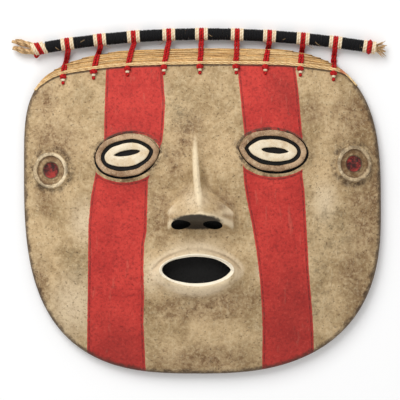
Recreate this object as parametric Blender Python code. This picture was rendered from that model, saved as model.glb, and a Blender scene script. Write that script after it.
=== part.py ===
"""Ancient painted face mask with a plant-fibre brow band and a thread-wrapped hanging cord, lying on its back.

Units are metres. +Z comes out of the face, +Y points to the brow and +X to the viewer's right.
Left and right are the viewer's. The floor under the back rim is at z = 0.
"""

import math

import bmesh
import bpy
import numpy as np
from mathutils import Matrix, Vector
from mathutils.bvhtree import BVHTree

# Gaps between pieces
TOUCH_GAP = 0.0003

# Face: a carved shell, hollow behind, with a flat rim to lie on
FACE_WIDTH = 0.286
FACE_HEIGHT = 0.260
RIM_HEIGHT = 0.009
RIM_WIDTH = 0.010
EDGE_ROUND = 0.004
DOME_RISE = 0.026
DOME_POWER = 2.4
WALL = 0.0085
HOLLOW_STEP = 0.003

# The outline's four extreme points, as shares of half the width and half the height, and the squareness
# of the quarter between each two of them, clockwise from the upper right
RIGHT_MOST_RISE = -0.01
LEFT_MOST_RISE = 0.26
TOP_MOST_SHIFT = 0.20
BOTTOM_MOST_SHIFT = -0.01
QUARTER_SQUARENESS = (3.2, 2.55, 2.95, 4.0)

# Nose: places are shares of the face's half width and half height
NOSE_ROOT = (-0.042, 0.475)
NOSE_TIP = (-0.010, -0.012)
NOSE_HEIGHT = 0.023
NOSE_CREST = 0.0014
NOSE_BRIDGE = 0.017
NOSE_WINGS = 0.052
NOSE_WING_SHARE = 0.52
NOSE_UNDERSIDE = 0.011
NOSE_ARCH = 0.0055
NOSTRIL_SHIFT = -0.0030
NOSTRIL_SPREAD = 0.0122
NOSTRIL_DROP = 0.0075
NOSTRIL_HALF = (0.0086, 0.0056, 0.0095)

# Mouth: an open recess in raised lips
MOUTH_PLACE = (-0.032, -0.358)
MOUTH_LENGTH = 0.0545
MOUTH_OPENING = 0.0212
MOUTH_DEPTH = 0.013
MOUTH_BACKING = 0.0045
UPPER_LIP = 0.0055
LOWER_LIP = 0.0135
LIP_HEIGHT = 0.0045
MUZZLE = (0.050, 0.031)
MUZZLE_HEIGHT = 0.005

# Ear bosses: turned rings carved in one with the face
EAR_PLACES = {"left": (-0.842, 0.252), "right": (0.842, 0.292)}
EAR_RADIUS = 0.0150
EAR_LIP = 0.0032
EAR_PROUD = 0.0034
EAR_DISH = 0.0015
EAR_CENTRE_RADIUS = 0.0064
EAR_CENTRE_DEPTH = 0.0010

# Eyes: an oval rim, a bed of black pitch and a slit shell plate
EYES = {
    "left": {"place": (-0.417, 0.345), "length": 0.0516, "width": 0.0340, "tilt": 9.0, "nose_side": 1},
    "right": {"place": (0.390, 0.372), "length": 0.0544, "width": 0.0330, "tilt": -4.5, "nose_side": -1},
}
EYE_RIM_WIDTH = 0.0046
EYE_RIM_THICKNESS = 0.0052
EYE_RIM_BEVEL = 0.0008
EYE_SUNK = 0.0022
EYE_SOCKET_CLEARANCE = 0.0012
PITCH_LINE = 0.0026
PITCH_BELOW_RIM = 0.0010
SHELL_THICKNESS = 0.0014
SLIT_LENGTH = 0.0215
SLIT_WIDTH = 0.0052

# Brow band: laid strands of plant fibre; its lower edge, in percent as for the outline
BAND_LINE = (
    (-92.7, 74.6), (-89.8, 77.8), (-80.6, 83.4), (-63.4, 86.8), (-42.0, 89.2), (-2.0, 90.4), (34.2, 90.2),
    (51.3, 89.4), (72.7, 86.5), (78.5, 84.9), (82.7, 82.2), (86.6, 78.2),
)
STRAND_COUNT = 7
STRAND_THICKNESS = 0.0016
STRAND_GAP = 0.0003
BAND_MARGIN = 0.001
STRAND_STEP = 0.020
STRAND_TURN = 12.0
STRAND_END_HEIGHT = 0.0045
STRAND_END_REACH = 0.0026
STRAND_END_LIFT = 0.0006

# Hanging cord: a bundle of plant fibre wrapped with thread, bowed over the brow
CORD_INSET = 0.0055
CORD_SHIFT = 0.0015
CORD_RISE = 0.0112
CORD_TO_BROW = 0.0079
CORE_RADIUS = 0.0034
BLACK_WRAP = 0.0012
CREAM_WRAP = 0.00135
CREAM_UNDER_RED = 0.0004
RED_WRAP = 0.0011
BAND_LENGTH = 0.0103
RED_LENGTH = 0.0038
LOOP_LENGTH = 0.0165
LOOP_WIDTH = 0.0062
LOOP_RADIUS = 0.0016
LOOP_RISE = 0.0070
TUFT_LENGTH = 0.0105
TUFT_STRANDS = 5
TUFT_SPREAD = 34.0
TUFT_RADIUS = 0.0009

# Ties: where each one leaves the cord and where its knot lies, in percent of half the face's width
TIES = (
    (-75.7, -77.9), (-57.5, -60.8), (-38.6, -41.9), (-18.8, -21.5), (-0.5, -1.4), (19.5, 18.8),
    (37.6, 35.1), (56.4, 54.7), (74.6, 73.3),
)
TIE_WIDTH = 0.0044
TIE_THICKNESS = 0.0020
TIE_PINCH = 0.0014
TIE_LIFT = 0.0011
KNOT_LENGTH = 0.0034
KNOT_WIDTH = 0.0054
KNOT_THICKNESS = 0.0034
BEAD_RADIUS = 0.0017
BEAD_BORE = 0.0011
BEAD_LENGTH = 0.0015
NECK_RADIUS = 0.0005
TIP_LENGTH = 0.0024
TIP_RADIUS = 0.0013

# Fineness of the solids
GRID = 116
EDGE_ROWS = 4
HOLLOW_GRID = 16
FACE_KEPT = 0.035
SLOPE_REACH = 0.002
WRAP_SIDES = 8
CORE_STEPS = 14
LOOP_STEPS = 10
OVAL_SIDES = 20

# Colour, roughness and metallic value of each material
MATERIALS = {
    "painted_wood": ((0.50, 0.41, 0.28), 0.75, 0.0),
    "eye_wood": ((0.36, 0.28, 0.21), 0.65, 0.0),
    "pitch": ((0.012, 0.011, 0.010), 0.45, 0.0),
    "shell": ((0.86, 0.76, 0.58), 0.4, 0.0),
    "plant_fibre": ((0.62, 0.42, 0.18), 0.8, 0.0),
    "black_yarn": ((0.012, 0.012, 0.014), 0.9, 0.0),
    "cream_yarn": ((0.82, 0.68, 0.48), 0.85, 0.0),
    "red_yarn": ((0.45, 0.018, 0.022), 0.85, 0.0),
}


def clear_scene():
    for obj in list(bpy.data.objects):
        bpy.data.objects.remove(obj)


def material(name):
    found = bpy.data.materials.get(name)
    if found:
        return found
    colour, roughness, metallic = MATERIALS[name]
    made = bpy.data.materials.new(name)
    made.use_nodes = True
    shader = made.node_tree.nodes["Principled BSDF"]
    shader.inputs["Base Color"].default_value = (*colour, 1.0)
    shader.inputs["Roughness"].default_value = roughness
    shader.inputs["Metallic"].default_value = metallic
    return made


def add_object(name, mesh, slot=None, place=None):
    obj = bpy.data.objects.new(name, mesh)
    bpy.context.scene.collection.objects.link(obj)
    if slot:
        obj.data.materials.append(material(slot))
    if place is not None:
        obj.matrix_world = place
    return obj


def mesh_from(name, points, faces):
    """A mesh with its faces turned outwards."""
    mesh = bpy.data.meshes.new(name)
    mesh.from_pydata([tuple(p) for p in points], [], faces)
    shape = bmesh.new()
    shape.from_mesh(mesh)
    bmesh.ops.recalc_face_normals(shape, faces=shape.faces)
    shape.to_mesh(mesh)
    shape.free()
    mesh.shade_smooth()
    mesh.set_sharp_from_angle(angle=math.radians(40))
    return mesh


def evaluated_mesh(obj):
    """A copy of the object's mesh with its modifiers applied, in world space."""
    graph = bpy.context.evaluated_depsgraph_get()
    mesh = bpy.data.meshes.new_from_object(obj.evaluated_get(graph))
    mesh.transform(obj.matrix_world)
    return mesh


def boolean(obj, other, operation):
    """Joins or cuts with another object, which stays as a hidden guide."""
    modifier = obj.modifiers.new(f"{operation.lower()} {other.name}", "BOOLEAN")
    modifier.operation = operation
    modifier.object = other
    modifier.solver = "EXACT"
    other.hide_render = True
    other.display_type = "WIRE"


def smooth_step(value, low, high):
    t = np.clip((value - low) / (high - low), 0.0, 1.0)
    return t * t * (3 - 2 * t)


def smooth_bump(distance, reach):
    t = np.clip(distance / reach, 0.0, 1.0)
    return (1 - t * t) ** 2


def spline(points, steps, closed):
    """Points on a Catmull-Rom curve through the given ones."""
    count = len(points)
    spans = count if closed else count - 1
    made = []
    for i in range(spans):
        if closed:
            around = [points[(i + k) % count] for k in (-1, 0, 1, 2)]
        else:
            around = [points[min(max(i + k, 0), count - 1)] for k in (-1, 0, 1, 2)]
        p0, p1, p2, p3 = (np.array(p, float) for p in around)
        for k in range(steps):
            t = k / steps
            made.append(
                0.5 * (2 * p1 + (p2 - p0) * t + (2 * p0 - 5 * p1 + 4 * p2 - p3) * t**2
                       + (3 * p1 - p0 - 3 * p2 + p3) * t**3)
            )
    if not closed:
        made.append(np.array(points[-1], float))
    return np.array(made)


def on_face(share):
    """The plan position of a place given as shares of the face's half width and half height."""
    return share[0] * FACE_WIDTH / 2, share[1] * FACE_HEIGHT / 2


def from_percent(points):
    return [on_face((x / 100, y / 100)) for x, y in points]


def quarter(end_x, end_y, middle, squareness, steps=200):
    """A quarter of a squared-off oval about a middle, from its sideways extreme to its upper or lower one."""
    angles = math.pi / 2 * smooth_step(np.linspace(0, 1, steps), 0, 1)
    across = np.abs(np.cos(angles)) ** (2 / squareness)
    up = np.sin(angles) ** (2 / squareness)
    return middle[0] + (end_x - middle[0]) * across, middle[1] + (end_y - middle[1]) * up


class Outline:
    """The face's edge, as a reach in each direction from its middle."""

    def __init__(self):
        upper_right, lower_right, lower_left, upper_left = QUARTER_SQUARENESS
        quarters = (
            quarter(1, 1, (TOP_MOST_SHIFT, RIGHT_MOST_RISE), upper_right),
            quarter(1, -1, (BOTTOM_MOST_SHIFT, RIGHT_MOST_RISE), lower_right),
            quarter(-1, -1, (BOTTOM_MOST_SHIFT, LEFT_MOST_RISE), lower_left),
            quarter(-1, 1, (TOP_MOST_SHIFT, LEFT_MOST_RISE), upper_left),
        )
        x = np.concatenate([q[0] for q in quarters]) * FACE_WIDTH / 2
        y = np.concatenate([q[1] for q in quarters]) * FACE_HEIGHT / 2
        angles = np.arctan2(y, x)
        order = np.argsort(angles)
        self.angles = np.concatenate([angles[order] - 2 * math.pi, angles[order], angles[order] + 2 * math.pi])
        self.reaches = np.concatenate([np.hypot(x, y)[order]] * 3)

    def reach(self, x, y):
        return np.interp(np.arctan2(y, x), self.angles, self.reaches)

    def share(self, x, y):
        """0 at the middle of the face and 1 at its edge."""
        return np.hypot(x, y) / self.reach(x, y)


OUTER = Outline()


def dome(x, y):
    """The plain front surface, without its carving."""
    return RIM_HEIGHT + DOME_RISE * (1 - OUTER.share(x, y) ** DOME_POWER)


def edge_drop(x, y):
    """How far the rounded edge falls below the plain surface."""
    inside = np.clip((1 - OUTER.share(x, y)) * OUTER.reach(x, y), 0.0, EDGE_ROUND)
    return EDGE_ROUND - np.sqrt(np.maximum(EDGE_ROUND**2 - (EDGE_ROUND - inside) ** 2, 0.0))


def nose(x, y):
    """A narrow ridge that widens into two wings over a cut-off underside."""
    root_x, root_y = on_face(NOSE_ROOT)
    tip_x, tip_y = on_face(NOSE_TIP)
    along = (root_y - y) / (root_y - tip_y)
    t = np.clip(along, 0.0, 1.0)
    side = np.abs(x - root_x - (tip_x - root_x) * t**2)
    crest = np.sqrt(side**2 + NOSE_CREST**2) - NOSE_CREST
    flare = smooth_step(t, 0.62, 1.0)
    half = NOSE_BRIDGE / 2 * (0.55 + 0.6 * t) + (NOSE_WINGS - NOSE_BRIDGE) / 2 * flare
    height = NOSE_HEIGHT * (0.06 + 0.94 * t**1.25) * smooth_step(along, -0.16, 0.06)
    beside = np.clip(crest / half, 0.0, 1.0)
    ridge = (1 - beside) ** (1.55 - 0.35 * flare)
    wings = (1 - beside**3.5) ** 0.8
    share = NOSE_WING_SHARE * flare
    arch = NOSE_ARCH * np.clip(2 * side / NOSE_WINGS, 0.0, 1.0) ** 2
    underside_y = tip_y - NOSE_UNDERSIDE * 0.15 - arch
    lower_edge = smooth_step(y, underside_y - NOSE_UNDERSIDE, underside_y)
    return height * (ridge * (1 - share) + wings * share) * lower_edge


def oval(x, y, place, length, width):
    """Distance outside an oval (negative inside) and how far below its middle each point is."""
    dx, dy = x - place[0], y - place[1]
    level = np.maximum(np.hypot(dx / (length / 2), dy / (width / 2)), 1e-6)
    return (1 - 1 / level) * np.hypot(dx, dy), -dy / (width / 2)


def mouth(x, y):
    """A muzzle with a thin upper lip and a full lower one."""
    outside, below = oval(x, y, on_face(MOUTH_PLACE), MOUTH_LENGTH, MOUTH_OPENING)
    lower = smooth_step(below, -0.4, 1.0)
    lip_width = UPPER_LIP + (LOWER_LIP - UPPER_LIP) * lower
    across = np.clip(outside / lip_width, 0.0, 1.0)
    lip = LIP_HEIGHT * np.where(across < 0.3, 0.55 + 1.5 * across, np.cos((across - 0.3) / 0.7 * math.pi / 2))
    place = on_face(MOUTH_PLACE)
    spread = np.hypot((x - place[0]) / MUZZLE[0], (y - place[1] + LOWER_LIP * 0.3) / MUZZLE[1])
    return lip + MUZZLE_HEIGHT * smooth_bump(spread, 1.0)


def eye_collars(x, y):
    """A low swelling round each eye socket."""
    total = np.zeros_like(x)
    for eye in EYES.values():
        place = on_face(eye["place"])
        turn = math.radians(eye["tilt"])
        dx, dy = x - place[0], y - place[1]
        along = dx * math.cos(turn) + dy * math.sin(turn)
        across = dy * math.cos(turn) - dx * math.sin(turn)
        outside, _ = oval(along, across, (0, 0), eye["length"], eye["width"])
        total += EYE_SUNK * 0.7 * smooth_bump(np.maximum(outside, 0.0), EYE_RIM_WIDTH * 1.7)
    return total


def front(x, y):
    """Height of the carved front above the floor."""
    return dome(x, y) + nose(x, y) + mouth(x, y) + eye_collars(x, y) - edge_drop(x, y)


def grid_plan(count, scale, edge_rows=0, edge_depth=0.0):
    """Plan points of a square grid stretched to the outline, as an array of (count + 1) squared points.

    The outermost edge_rows rings share the last edge_depth metres.
    """
    half = count // 2
    i, j = np.meshgrid(np.arange(-half, half + 1), np.arange(-half, half + 1))
    ring = np.maximum(np.abs(i), np.abs(j))
    safe = np.maximum(ring, 1)
    u, v = i / safe, j / safe
    angle = math.pi / 4 * np.where(np.abs(u) >= np.abs(v), v * np.sign(u), 2 * np.sign(v) - u * np.sign(v))
    angle = np.where((np.abs(u) >= np.abs(v)) & (u < 0), angle + math.pi, angle)
    reach = OUTER.reach(np.cos(angle), np.sin(angle))
    edge_share = edge_depth / reach
    inner_rings = half - edge_rows
    inner = ring / max(inner_rings, 1) * (1 - edge_share)
    outer = 1 - edge_share * (half - ring) / max(edge_rows, 1)
    share = np.where(ring <= inner_rings, inner, outer) if edge_rows else ring / half
    radius = reach * scale(angle) * share
    return radius * np.cos(angle), radius * np.sin(angle)


def capped_grid(name, x, y, z, floor):
    """A closed block with a grid of heights on top, straight sides and a flat bottom."""
    rows, columns = x.shape
    points = [Vector((a, b, c)) for a, b, c in zip(x.flat, y.flat, z.flat)]
    faces = []
    for r in range(rows - 1):
        for c in range(columns - 1):
            first = r * columns + c
            faces.append((first, first + 1, first + columns + 1, first + columns))
    edge = list(range(columns))
    edge += [r * columns + columns - 1 for r in range(1, rows)]
    edge += [(rows - 1) * columns + c for c in range(columns - 2, -1, -1)]
    edge += [r * columns for r in range(rows - 2, 0, -1)]
    start = len(points)
    points += [Vector((points[k].x, points[k].y, floor)) for k in edge]
    for k, top in enumerate(edge):
        after = (k + 1) % len(edge)
        faces.append((top, edge[after], start + after, start + k))
    faces.append(tuple(range(start, start + len(edge))))
    return mesh_from(name, points, faces)


def oval_points(length, width, nose_side=0, sides=OVAL_SIDES):
    """An oval's outline. The end on the nose's side is more pointed."""
    made = []
    for k in range(sides):
        angle = 2 * math.pi * (k + 0.5) / sides
        pointed = 1.0 + 0.42 * max(0.0, nose_side * math.cos(angle)) if nose_side else 1.0
        rise = math.copysign(abs(math.sin(angle)) ** pointed, math.sin(angle))
        made.append((length / 2 * math.cos(angle), width / 2 * rise))
    return made


def plate(name, rings):
    """A closed solid lofted through rings of points, each ring a list with a height."""
    points = []
    faces = []
    count = len(rings[0][0])
    for outline, height in rings:
        points += [Vector((x, y, height)) for x, y in outline]
    for level in range(len(rings) - 1):
        for k in range(count):
            after = (k + 1) % count
            low = level * count
            faces.append((low + k, low + after, low + count + after, low + count + k))
    faces.append(tuple(reversed(range(count))))
    faces.append(tuple(range((len(rings) - 1) * count, len(rings) * count)))
    return mesh_from(name, points, faces)


def tube_ring(name, rings):
    """A closed ring-shaped solid through rings of points given all the way round its section."""
    count = len(rings[0][0])
    points = [Vector((x, y, height)) for outline, height in rings for x, y in outline]
    faces = []
    for level in range(len(rings)):
        above = (level + 1) % len(rings)
        for k in range(count):
            after = (k + 1) % count
            faces.append((level * count + k, level * count + after, above * count + after, above * count + k))
    return mesh_from(name, points, faces)


def surface_place(x, y, height=0.0):
    """A frame on the plain front surface, with its Z axis along the surface's normal."""
    slope_x = float(dome(x + SLOPE_REACH, y) - dome(x - SLOPE_REACH, y)) / (2 * SLOPE_REACH)
    slope_y = float(dome(x, y + SLOPE_REACH) - dome(x, y - SLOPE_REACH)) / (2 * SLOPE_REACH)
    normal = Vector((-slope_x, -slope_y, 1)).normalized()
    along = Vector((1, 0, slope_x)).normalized()
    across = normal.cross(along)
    turn = Matrix((along, across, normal)).transposed().to_4x4()
    return Matrix.Translation(Vector((x, y, float(dome(x, y)))) + normal * height) @ turn


def ear_boss(side):
    """A turned ring with a raised lip, a dish and a sunk centre. Its foot goes down into the face."""
    lip_top = EAR_RADIUS - EAR_LIP
    profile = (
        (EAR_RADIUS * 1.02, -WALL * 0.4),
        (EAR_RADIUS, EAR_PROUD * 0.75),
        (EAR_RADIUS - EAR_LIP * 0.35, EAR_PROUD),
        (lip_top, EAR_PROUD * 0.9),
        (lip_top - EAR_LIP * 0.4, EAR_DISH),
        (EAR_CENTRE_RADIUS + EAR_LIP * 0.2, EAR_DISH),
        (EAR_CENTRE_RADIUS, EAR_DISH - EAR_CENTRE_DEPTH),
    )
    rings = [(oval_points(2 * radius, 2 * radius, sides=OVAL_SIDES), height) for radius, height in profile]
    x, y = on_face(EAR_PLACES[side])
    return add_object(f"ear boss {side}", plate(f"ear boss {side}", rings), place=surface_place(x, y))


def eye_place(eye):
    x, y = on_face(eye["place"])
    return surface_place(x, y) @ Matrix.Rotation(math.radians(eye["tilt"]), 4, "Z")


def eye_socket(side, eye):
    grown = 2 * EYE_SOCKET_CLEARANCE
    outline = oval_points(eye["length"] + grown, eye["width"] + grown, eye["nose_side"])
    floor = -EYE_SUNK - TOUCH_GAP
    mesh = plate(f"eye socket {side}", [(outline, floor), (outline, EYE_RIM_THICKNESS * 2)])
    return add_object(f"eye socket {side}", mesh, place=eye_place(eye))


def mouth_cutter():
    x, y = on_face(MOUTH_PLACE)
    floor = float(dome(x, y)) + MUZZLE_HEIGHT + LIP_HEIGHT / 2 - MOUTH_DEPTH
    top = oval_points(MOUTH_LENGTH, MOUTH_OPENING, 1, OVAL_SIDES)
    low = oval_points(MOUTH_LENGTH * 0.94, MOUTH_OPENING * 0.88, 1, OVAL_SIDES)
    mesh = plate("mouth cutter", [(low, floor), (top, floor + MOUTH_DEPTH), (top, floor + 3 * MOUTH_DEPTH)])
    return add_object("mouth cutter", mesh, place=Matrix.Translation((x, y, 0)))


def nostril_cutter(side, name):
    x, y = on_face(NOSE_TIP)
    height = float(dome(x, y)) + NOSTRIL_HALF[2] * 0.55
    centre = Vector((x + NOSTRIL_SHIFT + side * NOSTRIL_SPREAD, y - NOSTRIL_DROP, height))
    shape = bmesh.new()
    bmesh.ops.create_uvsphere(shape, u_segments=12, v_segments=8, radius=1.0)
    mesh = bpy.data.meshes.new(name)
    shape.to_mesh(mesh)
    shape.free()
    size = Matrix.Diagonal((*NOSTRIL_HALF, 1.0))
    mesh.transform(Matrix.Rotation(math.radians(-18) * side, 4, "Z") @ size)
    return add_object(name, mesh, place=Matrix.Translation(centre))


def hollow_cutter():
    """The space behind the face, a wall's thickness under the front, shallower behind the mouth."""
    x, y = grid_plan(HOLLOW_GRID, lambda angle: 1 - RIM_WIDTH / OUTER.reach(np.cos(angle), np.sin(angle)))
    mouth_x, mouth_y = on_face(MOUTH_PLACE)
    recess = float(dome(mouth_x, mouth_y)) + MUZZLE_HEIGHT + LIP_HEIGHT / 2 - MOUTH_DEPTH
    lowered = float(dome(mouth_x, mouth_y)) - WALL - (recess - MOUTH_BACKING)
    near = np.hypot((x - mouth_x) / (MOUTH_LENGTH * 0.95), (y - mouth_y) / (MOUTH_OPENING * 1.75))
    z = dome(x, y) - WALL - max(lowered, 0.0) * (1 - smooth_step(near, 0.55, 1.0))
    z = np.maximum(z, HOLLOW_STEP)
    return add_object("hollow cutter", capped_grid("hollow cutter", x, y, z, -RIM_HEIGHT))


def table_cutter():
    """Everything below the floor, so that the back rim is one flat face."""
    shape = bmesh.new()
    bmesh.ops.create_cube(shape, size=1.0)
    mesh = bpy.data.meshes.new("table cutter")
    shape.to_mesh(mesh)
    shape.free()
    mesh.transform(Matrix.Diagonal((FACE_WIDTH * 2, FACE_HEIGHT * 2, RIM_HEIGHT * 4, 1)))
    return add_object("table cutter", mesh, place=Matrix.Translation((0, 0, -RIM_HEIGHT * 2)))


def make_face():
    x, y = grid_plan(GRID, np.ones_like, EDGE_ROWS, EDGE_ROUND * 1.3)
    face = add_object("face", capped_grid("face", x, y, front(x, y), -RIM_HEIGHT / 2), "painted_wood")
    thinned = face.modifiers.new("fewer facets", "DECIMATE")
    thinned.ratio = FACE_KEPT
    thinned.use_collapse_triangulate = True
    boolean(face, table_cutter(), "DIFFERENCE")
    for side in EAR_PLACES:
        boolean(face, ear_boss(side), "UNION")
    boolean(face, hollow_cutter(), "DIFFERENCE")
    for side, eye in EYES.items():
        boolean(face, eye_socket(side, eye), "DIFFERENCE")
    boolean(face, mouth_cutter(), "DIFFERENCE")
    boolean(face, nostril_cutter(-1, "nostril cutter left"), "DIFFERENCE")
    boolean(face, nostril_cutter(1, "nostril cutter right"), "DIFFERENCE")
    return face


def make_eye(side, eye):
    place = eye_place(eye)
    length, width, nose_side = eye["length"], eye["width"], eye["nose_side"]
    low = -EYE_SUNK
    top = low + EYE_RIM_THICKNESS

    def ring(inset, height):
        return oval_points(length - 2 * inset, width - 2 * inset, nose_side), height

    rim = tube_ring(
        f"eye_rim_{side}",
        [
            ring(0, low),
            ring(0, top - EYE_RIM_BEVEL),
            ring(EYE_RIM_BEVEL, top),
            ring(EYE_RIM_WIDTH, top),
            ring(EYE_RIM_WIDTH, low),
        ],
    )
    add_object(f"eye_rim_{side}", rim, "eye_wood", place)
    bed_inset = EYE_RIM_WIDTH + TOUCH_GAP
    bed_top = top - PITCH_BELOW_RIM
    bed = plate(f"eye_pitch_{side}", [ring(bed_inset, low), ring(bed_inset, bed_top)])
    add_object(f"eye_pitch_{side}", bed, "pitch", place)
    shell_inset = EYE_RIM_WIDTH + PITCH_LINE
    shell_low = bed_top + TOUCH_GAP
    slit = oval_points(SLIT_LENGTH, SLIT_WIDTH)
    shell = tube_ring(
        f"eye_shell_{side}",
        [
            ring(shell_inset, shell_low),
            ring(shell_inset, shell_low + SHELL_THICKNESS),
            (slit, shell_low + SHELL_THICKNESS),
            (slit, shell_low),
        ],
    )
    add_object(f"eye_shell_{side}", shell, "shell", place)


class Ground:
    """What later pieces rest on: the solids made so far, seen from above."""

    def __init__(self):
        self.trees = []

    def add(self, obj):
        mesh = evaluated_mesh(obj)
        shape = bmesh.new()
        shape.from_mesh(mesh)
        self.trees.append(BVHTree.FromBMesh(shape))
        shape.free()
        bpy.data.meshes.remove(mesh)

    def top(self, x, y, reach=0.0):
        """The highest surface within reach of a plan position, or None over open floor."""
        found = []
        for dx, dy in ((0, 0), (reach, 0), (-reach, 0), (0, reach), (0, -reach)):
            for tree in self.trees:
                hit = tree.ray_cast(Vector((x + dx, y + dy, 1.0)), Vector((0, 0, -1)))[0]
                if hit is not None:
                    found.append(hit.z)
        return max(found) if found else None


def swept(name, path, widths, heights, sides, closed=False):
    """A solid swept along a path, with a half width and half height at each point."""
    path = [Vector(p) for p in path]
    count = len(path)
    points = []
    for k, centre in enumerate(path):
        before = path[k - 1] if closed or k else path[k]
        after = path[(k + 1) % count] if closed or k < count - 1 else path[k]
        forward = (after - before).normalized()
        side = forward.cross(Vector((0, 0, 1))).normalized()
        up = side.cross(forward)
        for s in range(sides):
            angle = 2 * math.pi * (s + 0.5) / sides
            points.append(centre + side * math.cos(angle) * widths[k] + up * math.sin(angle) * heights[k])
    faces = []
    for k in range(count if closed else count - 1):
        after = (k + 1) % count
        for s in range(sides):
            beside = (s + 1) % sides
            faces.append((k * sides + s, k * sides + beside, after * sides + beside, after * sides + s))
    if not closed:
        faces.append(tuple(range(sides)))
        faces.append(tuple(range((count - 1) * sides, count * sides)))
    return mesh_from(name, points, faces)


class Band:
    """The brow band's lower edge. Places along it are counted in steps, shorter where it turns."""

    def __init__(self):
        self.curve = spline(from_percent(BAND_LINE), 16, closed=False)
        along = np.gradient(self.curve, axis=0)
        along /= np.linalg.norm(along, axis=1)[:, None]
        self.across = np.stack([-along[:, 1], along[:, 0]], axis=1)
        length = np.linalg.norm(np.diff(self.curve, axis=0), axis=1)
        turn = np.degrees(np.arccos(np.clip(np.sum(along[1:] * along[:-1], axis=1), -1, 1)))
        self.places = np.concatenate([[0], np.cumsum(length / STRAND_STEP + turn / STRAND_TURN)])

    def edge(self, x):
        """How high up the face the lower edge is."""
        return float(np.interp(x, self.curve[:, 0], self.curve[:, 1]))

    def slant(self, x):
        """How much longer a way straight up the face is than a way square across the band."""
        return 1 / float(np.interp(x, self.curve[:, 0], self.across[:, 1]))

    def place_at(self, x):
        return float(np.interp(x, self.curve[:, 0], self.places))

    def point(self, place, offset):
        """A plan point this far above the lower edge."""
        return tuple(
            float(
                np.interp(place, self.places, self.curve[:, k])
                + offset * np.interp(place, self.places, self.across[:, k])
            )
            for k in (0, 1)
        )


# The strands share the room between the band's lower edge and the face's top edge
BAND = Band()
BAND_ROOM = FACE_HEIGHT / 2 * (1 - max(y for _, y in BAND_LINE) / 100)
STRAND_PITCH = (BAND_ROOM - BAND_MARGIN) / STRAND_COUNT
STRAND_WIDTH = STRAND_PITCH - STRAND_GAP


def strand_plan(number, closer=()):
    """Plan points of one strand, from edge to edge of the face, with an end point just outside each edge.

    The places in closer are added to the even ones.
    """
    offset = (number - 0.5) * STRAND_PITCH
    last_share = 1 - STRAND_WIDTH / FACE_HEIGHT
    inside = [
        place
        for place in np.linspace(0, BAND.places[-1], 800)
        if OUTER.share(*BAND.point(place, offset + STRAND_WIDTH / 2)) < last_share
    ]
    first, last = inside[0], inside[-1]
    wanted = sorted([*range(math.ceil(BAND.places[-1])), *closer])
    kept = [first]
    for place in wanted:
        if kept[-1] + 0.12 < place < last - 0.12:
            kept.append(place)
    kept.append(last)
    plan = [BAND.point(place, offset) for place in kept]
    ends = []
    for here, inner in ((plan[0], plan[1]), (plan[-1], plan[-2])):
        away = (Vector(here) - Vector(inner)).normalized()
        beside = Vector(here) + away * STRAND_WIDTH
        reach = float(OUTER.reach(beside.x, beside.y)) + STRAND_END_REACH
        ends.append(tuple(beside.normalized() * reach))
    return [ends[0], *plan, ends[1]]


def laid_path(plan, ground, half_width, half_height, gap, end_height=None):
    """Heights for a plan path, so that straight stretches between its points clear what is below."""
    probes = []
    for k in range(len(plan) - 1):
        for share in (0.0, 0.25, 0.5, 0.75):
            probes.append((k + share, tuple(a + (b - a) * share for a, b in zip(plan[k], plan[k + 1]))))
    probes.append((len(plan) - 1, plan[-1]))
    tops = [(place, ground.top(x, y, half_width)) for place, (x, y) in probes]
    path = []
    for k, (x, y) in enumerate(plan):
        near = [top for place, top in tops if abs(place - k) < 0.8 and top is not None]
        height = (max(near) if near else 0.0) + half_height + gap
        if end_height is not None and k in (1, len(plan) - 2):
            height += STRAND_END_LIFT
        if end_height is not None and k in (0, len(plan) - 1):
            height = end_height
        path.append((x, y, height))
    return path


def make_strand(number, ground, closer=()):
    plan = strand_plan(number, closer)
    path = laid_path(plan, ground, STRAND_WIDTH / 2, STRAND_THICKNESS / 2, TOUCH_GAP, STRAND_END_HEIGHT)
    name = f"band_strand_{number}"
    corner = math.sqrt(2) / 2
    widths = [STRAND_WIDTH * corner] * len(path)
    heights = [STRAND_THICKNESS * corner] * len(path)
    return add_object(name, swept(name, path, widths, heights, 4), "plant_fibre")


def cord_radius():
    """Of the bow that the hanging cord makes."""
    half = FACE_WIDTH / 2 - CORD_INSET
    return (half**2 + CORD_RISE**2) / (2 * CORD_RISE)


def red_inner_radius():
    return CORE_RADIUS + TOUCH_GAP + CREAM_UNDER_RED + TOUCH_GAP


def cord_axis_height():
    """The red wraps lie on the floor with one of their flats."""
    return (red_inner_radius() + RED_WRAP) * math.cos(math.pi / WRAP_SIDES)


def cord_point(x):
    """A frame on the hanging cord's axis above plan position x, with its Z axis along the cord."""
    radius = cord_radius()
    top = FACE_HEIGHT / 2 + CORD_TO_BROW + CORE_RADIUS + BLACK_WRAP
    lean = math.asin((x - CORD_SHIFT) / radius)
    y = top - radius * (1 - math.cos(lean))
    along = Vector((math.cos(lean), -math.sin(lean), 0))
    up = Vector((0, 0, 1))
    turn = Matrix((up.cross(along), up, along)).transposed().to_4x4()
    return Matrix.Translation((x, y, cord_axis_height())) @ turn


def cord_ends():
    half = FACE_WIDTH / 2 - CORD_INSET
    return CORD_SHIFT - half, CORD_SHIFT + half


def tie_xs():
    half = FACE_WIDTH / 2
    return [(cord_x / 100 * half, knot_x / 100 * half) for cord_x, knot_x in TIES]


def wrap(name, slot, x, profile):
    """Thread wound round the cord, as a turned sleeve through (radius, place along the cord) points."""
    rings = [(oval_points(2 * radius, 2 * radius, sides=WRAP_SIDES), place) for radius, place in profile]
    return add_object(name, tube_ring(name, rings), slot, cord_point(x))


def plain_profile(inner, thickness, length):
    half, outer = length / 2, inner + thickness
    return (inner, -half), (outer, -half), (outer, half), (inner, half)


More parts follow.
